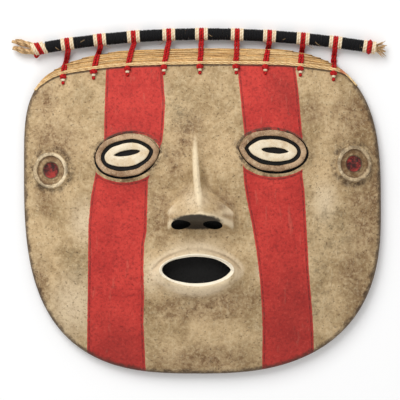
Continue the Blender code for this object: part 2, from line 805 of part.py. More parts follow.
def grooved_profile():
    """Cream thread, thinner in the middle where the red thread lies on it."""
    inner = CORE_RADIUS + TOUCH_GAP
    outer, groove = inner + CREAM_WRAP, inner + CREAM_UNDER_RED
    half, near = BAND_LENGTH / 2, RED_LENGTH / 2 + TOUCH_GAP
    return (
        (inner, -half), (outer, -half), (outer, -near), (groove, -near),
        (groove, near), (outer, near), (outer, half), (inner, half),
    )


def make_core():
    left, right = cord_ends()
    span = (right - left) / CORE_STEPS
    path = [cord_point(left + span * k).translation for k in range(CORE_STEPS + 1)]
    core = add_object(
        "cord_core",
        swept("cord_core", path, [CORE_RADIUS] * len(path), [CORE_RADIUS] * len(path), WRAP_SIDES),
        "plant_fibre",
    )
    end = cord_point(left)
    loop = []
    for k in range(LOOP_STEPS):
        angle = 2 * math.pi * k / LOOP_STEPS
        along = LOOP_LENGTH / 2 * (1 + math.cos(angle)) - LOOP_RADIUS
        across = LOOP_WIDTH / 2 * math.sin(angle) * (1 + 0.25 * math.cos(angle))
        rise = LOOP_RISE * max(along / LOOP_LENGTH, 0.0)
        loop.append(end @ Vector((across + rise, 0, -along)))
    mesh = swept("cord loop", loop, [LOOP_RADIUS] * LOOP_STEPS, [LOOP_RADIUS] * LOOP_STEPS, 5, closed=True)
    boolean(core, add_object("cord loop", mesh), "UNION")
    end = cord_point(right)
    for k in range(TUFT_STRANDS):
        lean = math.radians(TUFT_SPREAD * (2 * k / (TUFT_STRANDS - 1) - 1))
        rise = CORE_RADIUS * 0.3 * math.cos(2.4 * k)
        length = TUFT_LENGTH * (0.8 + 0.2 * math.cos(3.1 * k))
        start = Vector((-math.sin(lean) * CORE_RADIUS * 0.35, rise, -CORE_RADIUS * 0.3))
        tip = start + Vector((-math.sin(lean), 0.1 * math.cos(2.4 * k), math.cos(lean))) * length
        path = [end @ start, end @ start.lerp(tip, 0.6), end @ tip]
        mesh = swept(f"tuft {k}", path, [TUFT_RADIUS, TUFT_RADIUS, TUFT_RADIUS / 3],
                     [TUFT_RADIUS, TUFT_RADIUS, TUFT_RADIUS / 3], 4)
        boolean(core, add_object(f"tuft {k}", mesh), "UNION")
    return core


def make_wraps():
    """Cream bands under each tie and at both ends, with black thread between them."""
    left, right = cord_ends()
    bands = [left + BAND_LENGTH / 2, *(cord_x for cord_x, _ in tie_xs()), right - BAND_LENGTH / 2]
    for number, x in enumerate(bands, 1):
        wrap(f"cream_wrap_{number:02d}", "cream_yarn", x, grooved_profile())
    for number, (here, after) in enumerate(zip(bands, bands[1:]), 1):
        low = here + BAND_LENGTH / 2 + TOUCH_GAP
        high = after - BAND_LENGTH / 2 - TOUCH_GAP
        profile = plain_profile(CORE_RADIUS + TOUCH_GAP, BLACK_WRAP, high - low)
        wrap(f"black_wrap_{number:02d}", "black_yarn", (low + high) / 2, profile)
    red = plain_profile(red_inner_radius(), RED_WRAP, RED_LENGTH)
    wrap("red_end_wrap_left", "red_yarn", bands[0], red)
    wrap("red_end_wrap_right", "red_yarn", bands[-1], red)


def tie_route(cord_x, knot_x, ground):
    """The tie's path with its half width and half height at each point, and where its bead sits."""
    ring = cord_point(cord_x)
    ring_flat = (red_inner_radius() + RED_WRAP) * math.cos(math.pi / WRAP_SIDES)
    half = TIE_THICKNESS / 2
    root = ring @ Vector((RED_WRAP / 2 - ring_flat, half, 0))
    clear = ring @ Vector((-ring_flat - half, half * 1.6, 0))
    flat = (TIE_WIDTH / 2, half)
    route = [(root, (RED_LENGTH * 0.36, half * 0.8)), (clear, (RED_LENGTH / 2, half))]
    line = BAND.edge(knot_x)
    end_y = line - TOUCH_GAP

    def plan_point(offset):
        y = line + offset * BAND.slant(knot_x)
        return knot_x + (clear.x - knot_x) * (y - end_y) / (clear.y - end_y), y

    top_edge = STRAND_COUNT * STRAND_PITCH
    over = (top_edge + STRAND_WIDTH * 0.4, top_edge - STRAND_WIDTH * 1.6, STRAND_PITCH * 0.85)
    crossing = [plan_point(offset) for offset in over]
    for point in laid_path(crossing, ground, TIE_WIDTH / 2, half, TIE_LIFT):
        route.append((point, flat))
    under_y = line + STRAND_WIDTH * 0.15
    under_z = ground.top(knot_x, under_y) + TIE_PINCH + TOUCH_GAP * 3
    knot_y = end_y - KNOT_LENGTH / 2
    knot_z = ground.top(knot_x, knot_y, KNOT_WIDTH / 2) + KNOT_THICKNESS / 2 + TOUCH_GAP * 2
    knot = (KNOT_WIDTH / 2, KNOT_THICKNESS / 2)
    neck = (NECK_RADIUS, NECK_RADIUS)
    bead_y = end_y - KNOT_LENGTH - TOUCH_GAP - BEAD_LENGTH / 2
    tip_y = bead_y - BEAD_LENGTH / 2 - TOUCH_GAP
    route += [
        ((knot_x, under_y, under_z), (TIE_WIDTH * 0.42, TIE_PINCH / 2)),
        ((knot_x, end_y - KNOT_LENGTH * 0.1, (knot_z + under_z) / 2), (knot[0] * 0.7, TIE_PINCH * 0.6)),
        ((knot_x, knot_y + KNOT_LENGTH * 0.15, knot_z), knot),
        ((knot_x, knot_y - KNOT_LENGTH * 0.3, knot_z), (knot[0] * 0.85, knot[1] * 0.85)),
        ((knot_x, end_y - KNOT_LENGTH, knot_z), neck),
        ((knot_x, tip_y, knot_z), neck),
        ((knot_x, tip_y - TIP_LENGTH * 0.2, knot_z), (TIP_RADIUS, TIP_RADIUS)),
        ((knot_x, tip_y - TIP_LENGTH, knot_z), (TIP_RADIUS * 0.6, TIP_RADIUS * 0.6)),
    ]
    return route, (knot_x, bead_y, knot_z)


def make_bead(number, place):
    half = BEAD_LENGTH / 2
    profile = ((BEAD_BORE, -half), (BEAD_RADIUS, -half), (BEAD_RADIUS, half), (BEAD_BORE, half))
    rings = [(oval_points(2 * radius, 2 * radius, sides=6), height) for radius, height in profile]
    name = f"tie_bead_{number}"
    along_tie = Matrix.Rotation(math.radians(90), 4, "X")
    add_object(name, tube_ring(name, rings), "cream_yarn", Matrix.Translation(place) @ along_tie)


def make_tie(number, cord_x, knot_x, ground):
    """A red thread wound round the cord, led over the band, tied off below it and finished with a bead."""
    tie = wrap(f"red_tie_{number}", "red_yarn", cord_x, plain_profile(red_inner_radius(), RED_WRAP, RED_LENGTH))
    route, bead_place = tie_route(cord_x, knot_x, ground)
    path = [point for point, _ in route]
    corner = math.sqrt(2)
    widths = [size[0] * corner for _, size in route]
    heights = [size[1] * corner for _, size in route]
    boolean(tie, add_object(f"strap {number}", swept(f"strap {number}", path, widths, heights, 4)), "UNION")
    make_bead(number, bead_place)
    return tie


def places_over_ties():
    """Where the lowest strand climbs over each tie and comes down again."""
    made = []
    for _, knot_x in tie_xs():
        made += [BAND.place_at(knot_x + TIE_WIDTH * step) for step in (-1.5, -0.75, 0.0, 0.75, 1.5)]
    return made


def centre_on_floor():
    """Moves the whole mask so that its box stands on the floor with its middle at the origin."""
    solids = [o for o in bpy.data.objects if o.type == "MESH" and not o.hide_render]
    corners = []
    for obj in solids:
        mesh = evaluated_mesh(obj)
        corners += [v.co.copy() for v in mesh.vertices]
        bpy.data.meshes.remove(mesh)
    low = Vector(min(c[k] for c in corners) for k in range(3))
    high = Vector(max(c[k] for c in corners) for k in range(3))
    base = bpy.data.objects.new("mask base", None)
    bpy.context.scene.collection.objects.link(base)
    for obj in bpy.data.objects:
        if obj.type == "MESH":
            obj.parent = base
    base.location = (-(low.x + high.x) / 2, -(low.y + high.y) / 2, -low.z)


def main():
    clear_scene()
    face = make_face()
    for side, eye in EYES.items():
        make_eye(side, eye)
    face_ground = Ground()
    face_ground.add(face)
    laid = Ground()
    laid.trees.extend(face_ground.trees)
    for number in range(2, STRAND_COUNT + 1):
        laid.add(make_strand(number, face_ground))
    make_core()
    make_wraps()
    ties = Ground()
    ties.trees.extend(face_ground.trees)
    for number, (cord_x, knot_x) in enumerate(tie_xs(), 1):
        ties.add(make_tie(number, cord_x, knot_x, laid))
    make_strand(1, ties, places_over_ties())
    centre_on_floor()


main()
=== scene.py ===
"""The looks of an ancient painted face mask with a fibre brow band and a thread-wrapped hanging cord.

It lies on its back. +Z comes out of the face and +Y points to the brow. Left and right are the viewer's.
Sizes are in metres. Pieces are shaped about the middle of the face, and dress() moves them to their place.
"""

import math
import random

import bmesh
import bpy
import numpy as np
from mathutils import Matrix, Vector, noise
from mathutils.bvhtree import BVHTree


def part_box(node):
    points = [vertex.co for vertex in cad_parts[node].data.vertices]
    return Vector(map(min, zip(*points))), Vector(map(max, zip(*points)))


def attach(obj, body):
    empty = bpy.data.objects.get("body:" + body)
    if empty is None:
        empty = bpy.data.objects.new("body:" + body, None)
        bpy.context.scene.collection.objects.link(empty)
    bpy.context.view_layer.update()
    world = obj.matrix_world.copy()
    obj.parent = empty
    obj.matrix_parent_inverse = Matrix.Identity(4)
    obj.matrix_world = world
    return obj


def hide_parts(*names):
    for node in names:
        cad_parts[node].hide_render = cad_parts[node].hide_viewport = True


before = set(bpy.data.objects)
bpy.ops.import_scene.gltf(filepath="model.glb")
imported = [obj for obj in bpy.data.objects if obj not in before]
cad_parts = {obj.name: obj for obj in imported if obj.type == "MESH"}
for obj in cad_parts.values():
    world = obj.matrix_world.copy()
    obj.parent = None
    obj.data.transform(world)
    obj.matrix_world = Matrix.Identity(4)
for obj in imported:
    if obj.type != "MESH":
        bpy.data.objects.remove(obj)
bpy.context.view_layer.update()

# The frame's own measures
FACE_LOW, FACE_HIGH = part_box("face")
FACE_MIDDLE = Vector(((FACE_LOW.x + FACE_HIGH.x) / 2, (FACE_LOW.y + FACE_HIGH.y) / 2, 0))
FACE_WIDTH = FACE_HIGH.x - FACE_LOW.x
FACE_HEIGHT = FACE_HIGH.y - FACE_LOW.y

# Face
RIM_HEIGHT = 0.009
RIM_WIDTH = 0.010
EDGE_ROUND = 0.004
DOME_RISE = 0.026
DOME_POWER = 2.4
WALL = 0.0085
HOLLOW_STEP = 0.003
RIGHT_MOST_RISE = -0.01
LEFT_MOST_RISE = 0.26
TOP_MOST_SHIFT = 0.20
BOTTOM_MOST_SHIFT = -0.01
QUARTER_SQUARENESS = (3.2, 2.55, 2.95, 4.0)
QUARTER_STEPS = 200
SLOPE_REACH = 0.002
CREASE_REACH = 0.0022
KNIFE_WAVER = 0.00035
KNIFE_SPACING = 0.022
GRAIN_WAVER = 0.00012
GRAIN_SPACING = 0.006
CALM_EDGE = 0.006
CUT_WAVER = 0.02
CUT_SPACING = 0.009
GOUGE_DEPTH = 0.0005
GOUGE_SPACING = 0.007
HOLLOW_WAVER = 0.0006
HOLLOW_SPACING = 0.03
CLEAR_OF_CUTS = 1.3
FACE_SMOOTH_ANGLE = 38

# Nose
NOSE_ROOT = (-0.042, 0.475)
NOSE_TIP = (-0.010, -0.012)
NOSE_HEIGHT = 0.023
NOSE_CREST = 0.0014
NOSE_BRIDGE = 0.017
NOSE_WINGS = 0.052
NOSE_WING_SHARE = 0.52
NOSE_UNDERSIDE = 0.011
NOSE_ARCH = 0.0055
NOSTRIL_SHIFT = -0.0030
NOSTRIL_SPREAD = 0.0122
NOSTRIL_DROP = 0.0075
NOSTRIL_HALF = (0.0086, 0.0056, 0.0095)
NOSE_SOFTNESS = 0.0020
# The painted shadow under the nose: its half width and half height, and how far it rises
UNDER_NOSE = (0.0192, 0.0062)
UNDER_NOSE_RISE = 0.0008
NOSTRIL_TURN = 18

# Mouth
MOUTH_PLACE = (-0.032, -0.358)
MOUTH_LENGTH = 0.0545
MOUTH_OPENING = 0.0212
MOUTH_DEPTH = 0.013
UPPER_LIP = 0.0055
LOWER_LIP = 0.0135
LIP_HEIGHT = 0.0045
LIP_SPREAD = 1.3
MUZZLE = (0.050, 0.031)
MUZZLE_HEIGHT = 0.005
MOUTH_BACKING = 0.0045

# Ear bosses
EAR_PLACES = {"left": (-0.842, 0.252), "right": (0.842, 0.292)}
EAR_RADIUS = 0.0150
EAR_LIP = 0.0032
EAR_PROUD = 0.0034
EAR_DISH = 0.0013
EAR_CENTRE_RADIUS = 0.0064
EAR_CENTRE_DEPTH = 0.0008
EAR_COLLAR_RISE = 0.0004
EAR_COLLAR_WIDTH = 0.0012
EAR_COLLAR_FOOT = 0.0022
EAR_COLLAR_DIP = 0.0002
EAR_EDGE = 1.12

# Eyes
EYES = {
    "left": {"place": (-0.417, 0.345), "length": 0.0516, "width": 0.0340, "tilt": 9.0, "nose_side": 1},
    "right": {"place": (0.390, 0.372), "length": 0.0544, "width": 0.0330, "tilt": -4.5, "nose_side": -1},
}
EYE_RIM_WIDTH = 0.0046
EYE_RIM_THICKNESS = 0.0052
EYE_SUNK = 0.0022
SOCKET_CLEARANCE = 0.0010
SOCKET_DROP = 0.0009
TOUCH_GAP = 0.0003
PITCH_LINE = 0.0031
PITCH_BELOW_RIM = 0.0010
SHELL_THICKNESS = 0.0014
BARE_UNDER_EYE = 0.0046
EYE_SMOOTH_ANGLE = 50
SLIT_LENGTH = 0.0215
SLIT_WIDTH = 0.0047
SLIT_SHIFTS = {"left": (0.0, 0.0013), "right": (0.0018, 0.0)}

# Red stripes: (height up the face, place across it) along both edges of each, in percent of half its size
STRIPES = (
    (
        ((88, -53.9), (55, -54.7), (43, -54.7), (23, -59.6), (8, -62.2), (-8, -63.5), (-45, -63.9),
         (-100, -64.8)),
        ((89, -22.3), (67, -20.8), (51, -21.5), (43, -22.3), (19, -30.3), (-12, -31.0), (-20, -32.4),
         (-36, -32.8), (-52, -32.4), (-67, -32.9), (-97, -31.8)),
    ),
    (
        ((89, 19.4), (75, 20.8), (59, 22.2), (48, 23.3), (27, 22.5), (16, 23.3), (5, 25.1), (-8, 27.6),
         (-24, 30.0), (-40, 31.8), (-55, 32.9), (-71, 33.6), (-98, 33.4)),
        ((89, 51.8), (75, 53.5), (59, 54.6), (46, 55.7), (22, 55.7), (13, 56.8), (-5, 57.7), (-20, 58.5),
         (-36, 59.3), (-55, 60.8), (-71, 61.9), (-85, 62.4)),
    ),
)

# Patches of colour: place, half width and half height, in percent of half the face's size
# Brown: patina stains, and painted shade under the eyes and the lower lip, at the chin and down the right
# side
BROWN_STAIN_AND_SHADE_PATCHES = (
    (92, -6, 12, 34), (86, 26, 14, 14), (60, 60, 10, 8), (-4, -60, 36, 9), (20, -54, 22, 8),
    (-24, -2, 8, 20), (12, 3, 7, 10), (-88, 8, 7, 12), (-82, 44, 16, 16), (88, -56, 10, 26),
    (-92, -45, 7, 24), (-8, 48, 10, 16), (-38, 17, 16, 5), (38, 20, 16, 5), (86, 58, 16, 20),
    (0, -92, 32, 12), (-16, 30, 6, 14), (84, -36, 9, 20), (-88, 68, 8, 13), (61, 63, 5, 9),
    (90, 4, 10, 14), (96, 10, 5, 50), (10, -52, 26, 6),
)
# Grey-green: patina
GREEN_PATCHES = (
    (-70, -33, 9, 13), (-58, -40, 6, 8), (64, -34, 7, 16), (66, -58, 8, 12), (72, -12, 14, 20),
    (-12, 62, 9, 16),
)
# Pale: patches of painted light
PAINTED_LIGHT_PATCHES = (
    (-72, -58, 15, 22), (-28, -39, 8, 13), (-4, -24, 19, 8), (-4, 7, 9, 9), (-66, -6, 9, 16),
    (-6, -47, 18, 6), (68, 6, 8, 14), (-30, 74, 12, 8), (34, -36, 5, 8),
)
# Dark red: darker paint, and painted shade under the left eye and at the lower right
DARK_RED_AND_SHADE_PATCHES = ((50, -66, 20, 44), (-48, -90, 22, 26), (46, 74, 10, 16), (-40, 22, 14, 10))

# Brow band
BAND_LINE = (
    (-92.7, 74.6), (-89.8, 77.8), (-80.6, 83.4), (-63.4, 86.8), (-42.0, 89.2), (-2.0, 90.4), (34.2, 90.2),
    (51.3, 89.4), (72.7, 86.5), (78.5, 84.9), (82.7, 82.2), (86.6, 78.2),
)
STRAND_COUNT = 8
STRAND_PITCH = 0.00158
STRAND_RADIUS = 0.00088
STRAND_END_HEIGHT = 0.0030
STRAND_TAPER = 0.55
TAIL_STRANDS = 3
STRAND_STEP = 0.0009
STRAND_WAVER = 0.00018
FINE_FIBRES = 46
FINE_FIBRE_STEP = 0.0018
FINE_FIBRE_LIFT = 0.0002
EDGE_CORDS = ((0.0006, 0.00066), (0.00175, 0.00072))
RED_STAIN = (0.1149, 0.1027, 0.0)

# Hanging cord
CORD_INSET = 0.0055
CORD_SHIFT = 0.0015
CORD_RISE = 0.0112
CORD_TO_BROW = 0.0079
CORD_SETTLED = 0.0005
CORD_LEFT_SAG = 0.0013
CORE_RADIUS = 0.0034
BLACK_WRAP = 0.0012
RED_WRAP = 0.0011
CREAM_UNDER_RED = 0.0004
CORE_OVERRUN = 0.001
CORE_STEPS = 90
WRAP_SIDES = 8
BAND_LENGTH = 0.0103
RED_LENGTH = 0.0038
BLACK_YARN = 0.00064
CREAM_YARN = 0.00086
RED_YARN = 0.00096
RED_RING_SUNK = 0.0002
RED_LOOP_START = 0.0006
RED_LOOP_LENGTH = 0.0034
RED_LOOP_DEPTH = 0.0019
END_LEAN = 0.0017
LOOP_LENGTH = 0.0165
LOOP_WIDTH = 0.0062
LOOP_RISE = 0.0070
LOOP_BUNDLE = 0.0027
LOOP_FIBRES = 14
LOOP_FIBRE = 0.00082
LOOP_ROOT = 0.002
LOOP_OVERRUN = 0.0026
LOOP_HALF_GAP = 0.0017
TUFT_LENGTH = 0.0105
TUFT_FIBRES = 26
TUFT_FIBRE = 0.00058
TUFT_ROOT = 0.001
STRAY_TIES = (0, 1, 3, 4, 6, 7)
STRAY_FIBRE = 0.00022
STRAY_LOWEST = 0.0055
CAUGHT_FIBRES = 9
CAUGHT_FIBRE = 0.00016

# Ties: where each one leaves the cord and where its knot lies, in percent of half the face's width
TIES = (
    (-75.7, -77.9), (-57.5, -60.8), (-38.6, -41.9), (-18.8, -21.5), (-0.5, -1.4), (19.5, 18.8),
    (37.6, 35.1), (56.4, 54.7), (74.6, 73.3),
)
TIE_YARN = 0.00112
TIE_LEAVING = ((0, 0, 0.0012), (0, -0.0012, 0.0016))
TIE_BELOW_BAND = 0.002
TIE_END_LIFT = 0.0009
TIE_END_DROP = 0.0004
FOOT_BEND = 0.0006
FOOT_LIFT = 0.0007
FOOT_DROP = 0.0008
KNOT_LENGTH = 0.0034
KNOT_WIDTH = 0.0058
KNOT_YARN = 0.00095
KNOT_TURNS = 2.4
KNOT_DEPTH = 0.0011
KNOT_LIFT = 0.0018
KNOT_FILLING = (0.0012, 0.0018, 0.0019, 0.0018, 0.0013, 0.0007)
KNOT_FILLING_START = 0.0006
BEAD_RADIUS = 0.0016
BEAD_LENGTH = 0.0020
BEAD_OVERLAP = 0.0003
TIP_LENGTH = 0.0028
TIP_RADIUS = 0.0015
TIP_NECK = 0.0007

# Stage: the picture's middle lies this far right of the frame's middle and above it
PICTURE_SHIFT = 0.0005
PICTURE_RISE = 0.00025
PICTURE_WIDTH = 0.320
CAMERA_HEIGHT = 3.5
CAMERA_SIGHT = 20
FLOOR_SIZE = 8
FLOOR_DROP = 0.0002
FLOOR_TONE = 0.96
SKY_LIGHT = 0.54
LIGHTS = (("key light", (-0.75, 1.3, 1.5), 32.5), ("fill light", (0.5, -1.4, 1.6), 6.5))
LIGHT_SIZE = 1.4

# Fineness
GRID = 220
EDGE_ROWS = 8
HOLLOW_GRID = 90
EYE_SIDES = 96
MILLIMETRES = 1000


def only(*pieces):
    """Selects these objects and nothing else, with the first one active."""
    bpy.ops.object.select_all(action="DESELECT")
    for piece in pieces:
        piece.select_set(True)
    bpy.context.view_layer.objects.active = pieces[0]


def named(name):
    piece = bpy.context.active_object
    piece.name = name
    piece.data.name = name
    return piece


def drawn(name, shape, **settings):
    """Adds one of Blender's own shapes, a light or a camera, and names it."""
    bpy.ops.object.select_all(action="DESELECT")
    shape(**settings)
    return named(name)


def points_of(piece):
    found = np.empty(len(piece.data.vertices) * 3)
    piece.data.vertices.foreach_get("co", found)
    return found.reshape(-1, 3)


def set_points(piece, points):
    piece.data.vertices.foreach_set("co", np.ravel(points))
    piece.data.update()


def smooth_step(value, low, high):
    t = np.clip((value - low) / (high - low), 0.0, 1.0)
    return t * t * (3 - 2 * t)


def smooth_bump(distance, reach):
    t = np.clip(distance / reach, 0.0, 1.0)
    return (1 - t * t) ** 2


def spline(points, steps):
    """Points on an open Catmull-Rom curve through the given ones."""
    made = []
    last = len(points) - 1
    for i in range(last):
        p0, p1, p2, p3 = (np.array(points[min(max(i + k, 0), last)], float) for k in (-1, 0, 1, 2))
        for t in np.arange(steps) / steps:
            made.append(
                0.5 * (2 * p1 + (p2 - p0) * t + (2 * p0 - 5 * p1 + 4 * p2 - p3) * t**2
                       + (3 * p1 - p0 - 3 * p2 + p3) * t**3)
            )
    return np.array([*made, points[-1]])


def on_face(share):
    """The plan position of a place given as shares of the face's half width and half height."""
    return share[0] * FACE_WIDTH / 2, share[1] * FACE_HEIGHT / 2


def quarter(end_x, end_y, middle, squareness):
    """A quarter of a squared-off oval about a middle, from its side to its top or bottom."""
    angles = math.pi / 2 * smooth_step(np.linspace(0, 1, QUARTER_STEPS), 0, 1)
    across = np.abs(np.cos(angles)) ** (2 / squareness)
    up = np.sin(angles) ** (2 / squareness)
    return middle[0] + (end_x - middle[0]) * across, middle[1] + (end_y - middle[1]) * up


class Outline:
    """The face's edge, as a reach in each direction from its middle."""

    def __init__(self):
        upper_right, lower_right, lower_left, upper_left = QUARTER_SQUARENESS
        quarters = (
            quarter(1, 1, (TOP_MOST_SHIFT, RIGHT_MOST_RISE), upper_right),
            quarter(1, -1, (BOTTOM_MOST_SHIFT, RIGHT_MOST_RISE), lower_right),
            quarter(-1, -1, (BOTTOM_MOST_SHIFT, LEFT_MOST_RISE), lower_left),
            quarter(-1, 1, (TOP_MOST_SHIFT, LEFT_MOST_RISE), upper_left),
        )
        x = np.concatenate([q[0] for q in quarters]) * FACE_WIDTH / 2
        y = np.concatenate([q[1] for q in quarters]) * FACE_HEIGHT / 2
        angles = np.arctan2(y, x)
        order = np.argsort(angles)
        turn = 2 * math.pi
        self.angles = np.concatenate([angles[order] - turn, angles[order], angles[order] + turn])
        self.reaches = np.concatenate([np.hypot(x, y)[order]] * 3)

    def reach(self, x, y):
        return np.interp(np.arctan2(y, x), self.angles, self.reaches)

    def share(self, x, y):
        """0 at the middle of the face and 1 at its edge."""
        return np.hypot(x, y) / self.reach(x, y)

    def inside(self, x, y):
        """How far a place is from the edge."""
        return (1 - self.share(x, y)) * self.reach(x, y)


OUTER = Outline()


def dome(x, y):
    """The plain front surface, without its carving."""
    return RIM_HEIGHT + DOME_RISE * (1 - OUTER.share(x, y) ** DOME_POWER)


def edge_drop(x, y):
    """How far the rounded edge falls below the plain surface."""
    inside = np.clip(OUTER.inside(x, y), 0.0, EDGE_ROUND)
    return EDGE_ROUND - np.sqrt(np.maximum(EDGE_ROUND**2 - (EDGE_ROUND - inside) ** 2, 0.0))


def nose(x, y):
    """A narrow ridge that widens into two wings over a cut-off underside."""
    root_x, root_y = on_face(NOSE_ROOT)
    tip_x, tip_y = on_face(NOSE_TIP)
    along = (root_y - y) / (root_y - tip_y)
    t = np.clip(along, 0.0, 1.0)
    side = np.abs(x - root_x - (tip_x - root_x) * t**2)
    crest = np.sqrt(side**2 + NOSE_CREST**2) - NOSE_CREST
    flare = smooth_step(t, 0.62, 1.0)
    half = NOSE_BRIDGE / 2 * (0.55 + 0.6 * t) + (NOSE_WINGS - NOSE_BRIDGE) / 2 * flare
    height = NOSE_HEIGHT * (0.06 + 0.94 * t**1.25) * smooth_step(along, -0.16, 0.06)
    beside = np.clip(crest / half, 0.0, 1.0)
    ridge = (1 - beside) ** (1.55 - 0.35 * flare)
    wings = (1 - beside**3.5) ** 0.8
    share = NOSE_WING_SHARE * flare
    arch = NOSE_ARCH * np.clip(2 * side / NOSE_WINGS, 0.0, 1.0) ** 2
    underside_y = tip_y - NOSE_UNDERSIDE * 0.15 - arch
    lower_edge = smooth_step(y, underside_y - NOSE_UNDERSIDE, underside_y)
    return height * (ridge * (1 - share) + wings * share) * lower_edge


def oval(x, y, place, length, width):
    """Distance outside an oval (negative inside) and how far below its middle each point is."""
    dx, dy = x - place[0], y - place[1]
    level = np.maximum(np.hypot(dx / (length / 2), dy / (width / 2)), 1e-6)
    return (1 - 1 / level) * np.hypot(dx, dy), -dy / (width / 2)


def softened(shape, x, y, reach):
    """A carved shape with its creases rubbed soft over this reach."""
    around = [(reach * math.cos(k * math.pi / 4), reach * math.sin(k * math.pi / 4)) for k in range(8)]
    return (2 * shape(x, y) + sum(shape(x + dx, y + dy) for dx, dy in around)) / 10


def mouth(x, y):
    """A muzzle with a thin upper lip and a full lower one."""
    outside, below = oval(x, y, on_face(MOUTH_PLACE), MOUTH_LENGTH, MOUTH_OPENING)
    lower = smooth_step(below, -0.4, 1.0)
    lip_width = (UPPER_LIP + (LOWER_LIP - UPPER_LIP) * lower) * LIP_SPREAD
    across = np.clip(outside / lip_width, 0.0, 1.0)
    fall = np.cos((across - 0.2) / 0.8 * math.pi / 2) ** 2
    lip = LIP_HEIGHT * np.where(across < 0.2, 0.6 + 2 * across, fall)
    place = on_face(MOUTH_PLACE)
    spread = np.hypot((x - place[0]) / MUZZLE[0], (y - place[1] + LOWER_LIP * 0.3) / MUZZLE[1])
    return lip + MUZZLE_HEIGHT * smooth_bump(spread, 1.0)


def beside_eye(x, y, eye):
    """Distance outside an eye's rim."""
    place = on_face(eye["place"])
    turn = math.radians(eye["tilt"])
    dx, dy = x - place[0], y - place[1]
    along = dx * math.cos(turn) + dy * math.sin(turn)
    across = dy * math.cos(turn) - dx * math.sin(turn)
    return oval(along, across, (0, 0), eye["length"], eye["width"])[0]


def eye_collars(x, y):
    """A low swelling round each eye socket."""
    total = np.zeros_like(x)
    for eye in EYES.values():
        outside = np.maximum(beside_eye(x, y, eye), 0.0)
        total += EYE_SUNK * 0.7 * smooth_bump(outside, EYE_RIM_WIDTH * 1.7)
    return total


def front(x, y):
    """Height of the carved front above the floor."""
    carved = softened(nose, x, y, NOSE_SOFTNESS) + mouth(x, y) + eye_collars(x, y)
    return dome(x, y) + carved - edge_drop(x, y)


def hollow(x, y):
    """Height of the hollow back, a wall's thickness under the front and lower behind the mouth."""
    mouth_x, mouth_y = on_face(MOUTH_PLACE)
    middle = float(dome(mouth_x, mouth_y))
    recess = middle + MUZZLE_HEIGHT + LIP_HEIGHT / 2 - MOUTH_DEPTH
    lowered = max(middle - WALL - (recess - MOUTH_BACKING), 0.0)
    near = np.hypot((x - mouth_x) / (MOUTH_LENGTH * 0.95), (y - mouth_y) / (MOUTH_OPENING * 1.75))
    return np.maximum(dome(x, y) - WALL - lowered * (1 - smooth_step(near, 0.55, 1.0)), HOLLOW_STEP)


def surface_place(x, y):
    """A frame on the plain front surface, with its Z axis along the surface's normal."""
    step = SLOPE_REACH
    slope_x = float(dome(x + step, y) - dome(x - step, y)) / (2 * step)
    slope_y = float(dome(x, y + step) - dome(x, y - step)) / (2 * step)
    normal = Vector((-slope_x, -slope_y, 1)).normalized()
    along = Vector((1, 0, slope_x)).normalized()
    turn = Matrix((along, normal.cross(along), normal)).transposed().to_4x4()
    return Matrix.Translation(Vector((x, y, float(dome(x, y))))) @ turn


def eye_place(eye):
    return surface_place(*on_face(eye["place"])) @ Matrix.Rotation(math.radians(eye["tilt"]), 4, "Z")


def to_outline(u, v, rim=0.0, edge_rows=0, edge_depth=0.0, rows=1):
    """Plan places of a square grid's points, from -1 to 1, stretched to the face's outline less a rim."""
    ring = np.maximum(np.abs(u), np.abs(v))
    safe = np.maximum(ring, 1e-9)
    a, b = u / safe, v / safe
    sideways = np.abs(a) >= np.abs(b)
    angle = math.pi / 4 * np.where(sideways, b * np.sign(a), np.sign(b) * (2 - a))
    angle = np.where(sideways & (a < 0), angle + math.pi, angle)
    reach = OUTER.reach(np.cos(angle), np.sin(angle)) - rim
    share = np.interp(ring, (0, 1 - edge_rows / rows, 1), (0, 1 - edge_depth / (FACE_WIDTH / 2), 1))
    return reach * share * np.cos(angle), reach * share * np.sin(angle)


def uneven(points, size, seed):
    """A smooth random value from -1 to 1 at each point, that changes over about this size."""
    offset = Vector((seed * 7.3, seed * 3.1, seed * 1.7))
    return np.array([noise.noise(Vector(p) / size + offset) for p in points])


def select_faces(rule):
    """Selects the faces whose middle the rule picks, in edit mode."""
    shape = bmesh.from_edit_mesh(bpy.context.object.data)
    bpy.ops.mesh.select_all(action="DESELECT")
    for face in shape.faces:
        if rule(face.calc_center_median()):
            face.select_set(True)
    bmesh.update_edit_mesh(bpy.context.object.data)


def near_carving(place):
    """True where the carving is fine: round the eyes, ears, nose and mouth."""
    x, y = place.x, place.y
    for ear in EAR_PLACES.values():
        ear_x, ear_y = on_face(ear)
        if math.hypot(x - ear_x, y - ear_y) < EAR_RADIUS * 1.35:
            return True
    for eye in EYES.values():
        if beside_eye(x, y, eye) < EYE_RIM_WIDTH * 2:
            return True
    tip_x, tip_y = on_face(NOSE_TIP)
    root_y = on_face(NOSE_ROOT)[1]
    if tip_y - NOSE_UNDERSIDE * 2 < y < root_y and abs(x - tip_x) < NOSE_WINGS * 0.6:
        return True
    mouth_x, mouth_y = on_face(MOUTH_PLACE)
    return math.hypot((x - mouth_x) / MUZZLE[0], (y - mouth_y) / MUZZLE[1]) < 1


def close_below(floor):
    """Extrudes the open edge down to a floor and fills it, in edit mode."""
    bpy.ops.mesh.select_all(action="SELECT")
    bpy.ops.mesh.region_to_loop()
    bpy.ops.mesh.extrude_edges_move(TRANSFORM_OT_translate={"value": (0, 0, -0.001)})
    bpy.ops.transform.resize(value=(1, 1, 0), center_override=(0, 0, floor))
    bpy.ops.mesh.edge_face_add()
    bpy.ops.mesh.select_all(action="SELECT")
    bpy.ops.mesh.normals_make_consistent(inside=False)


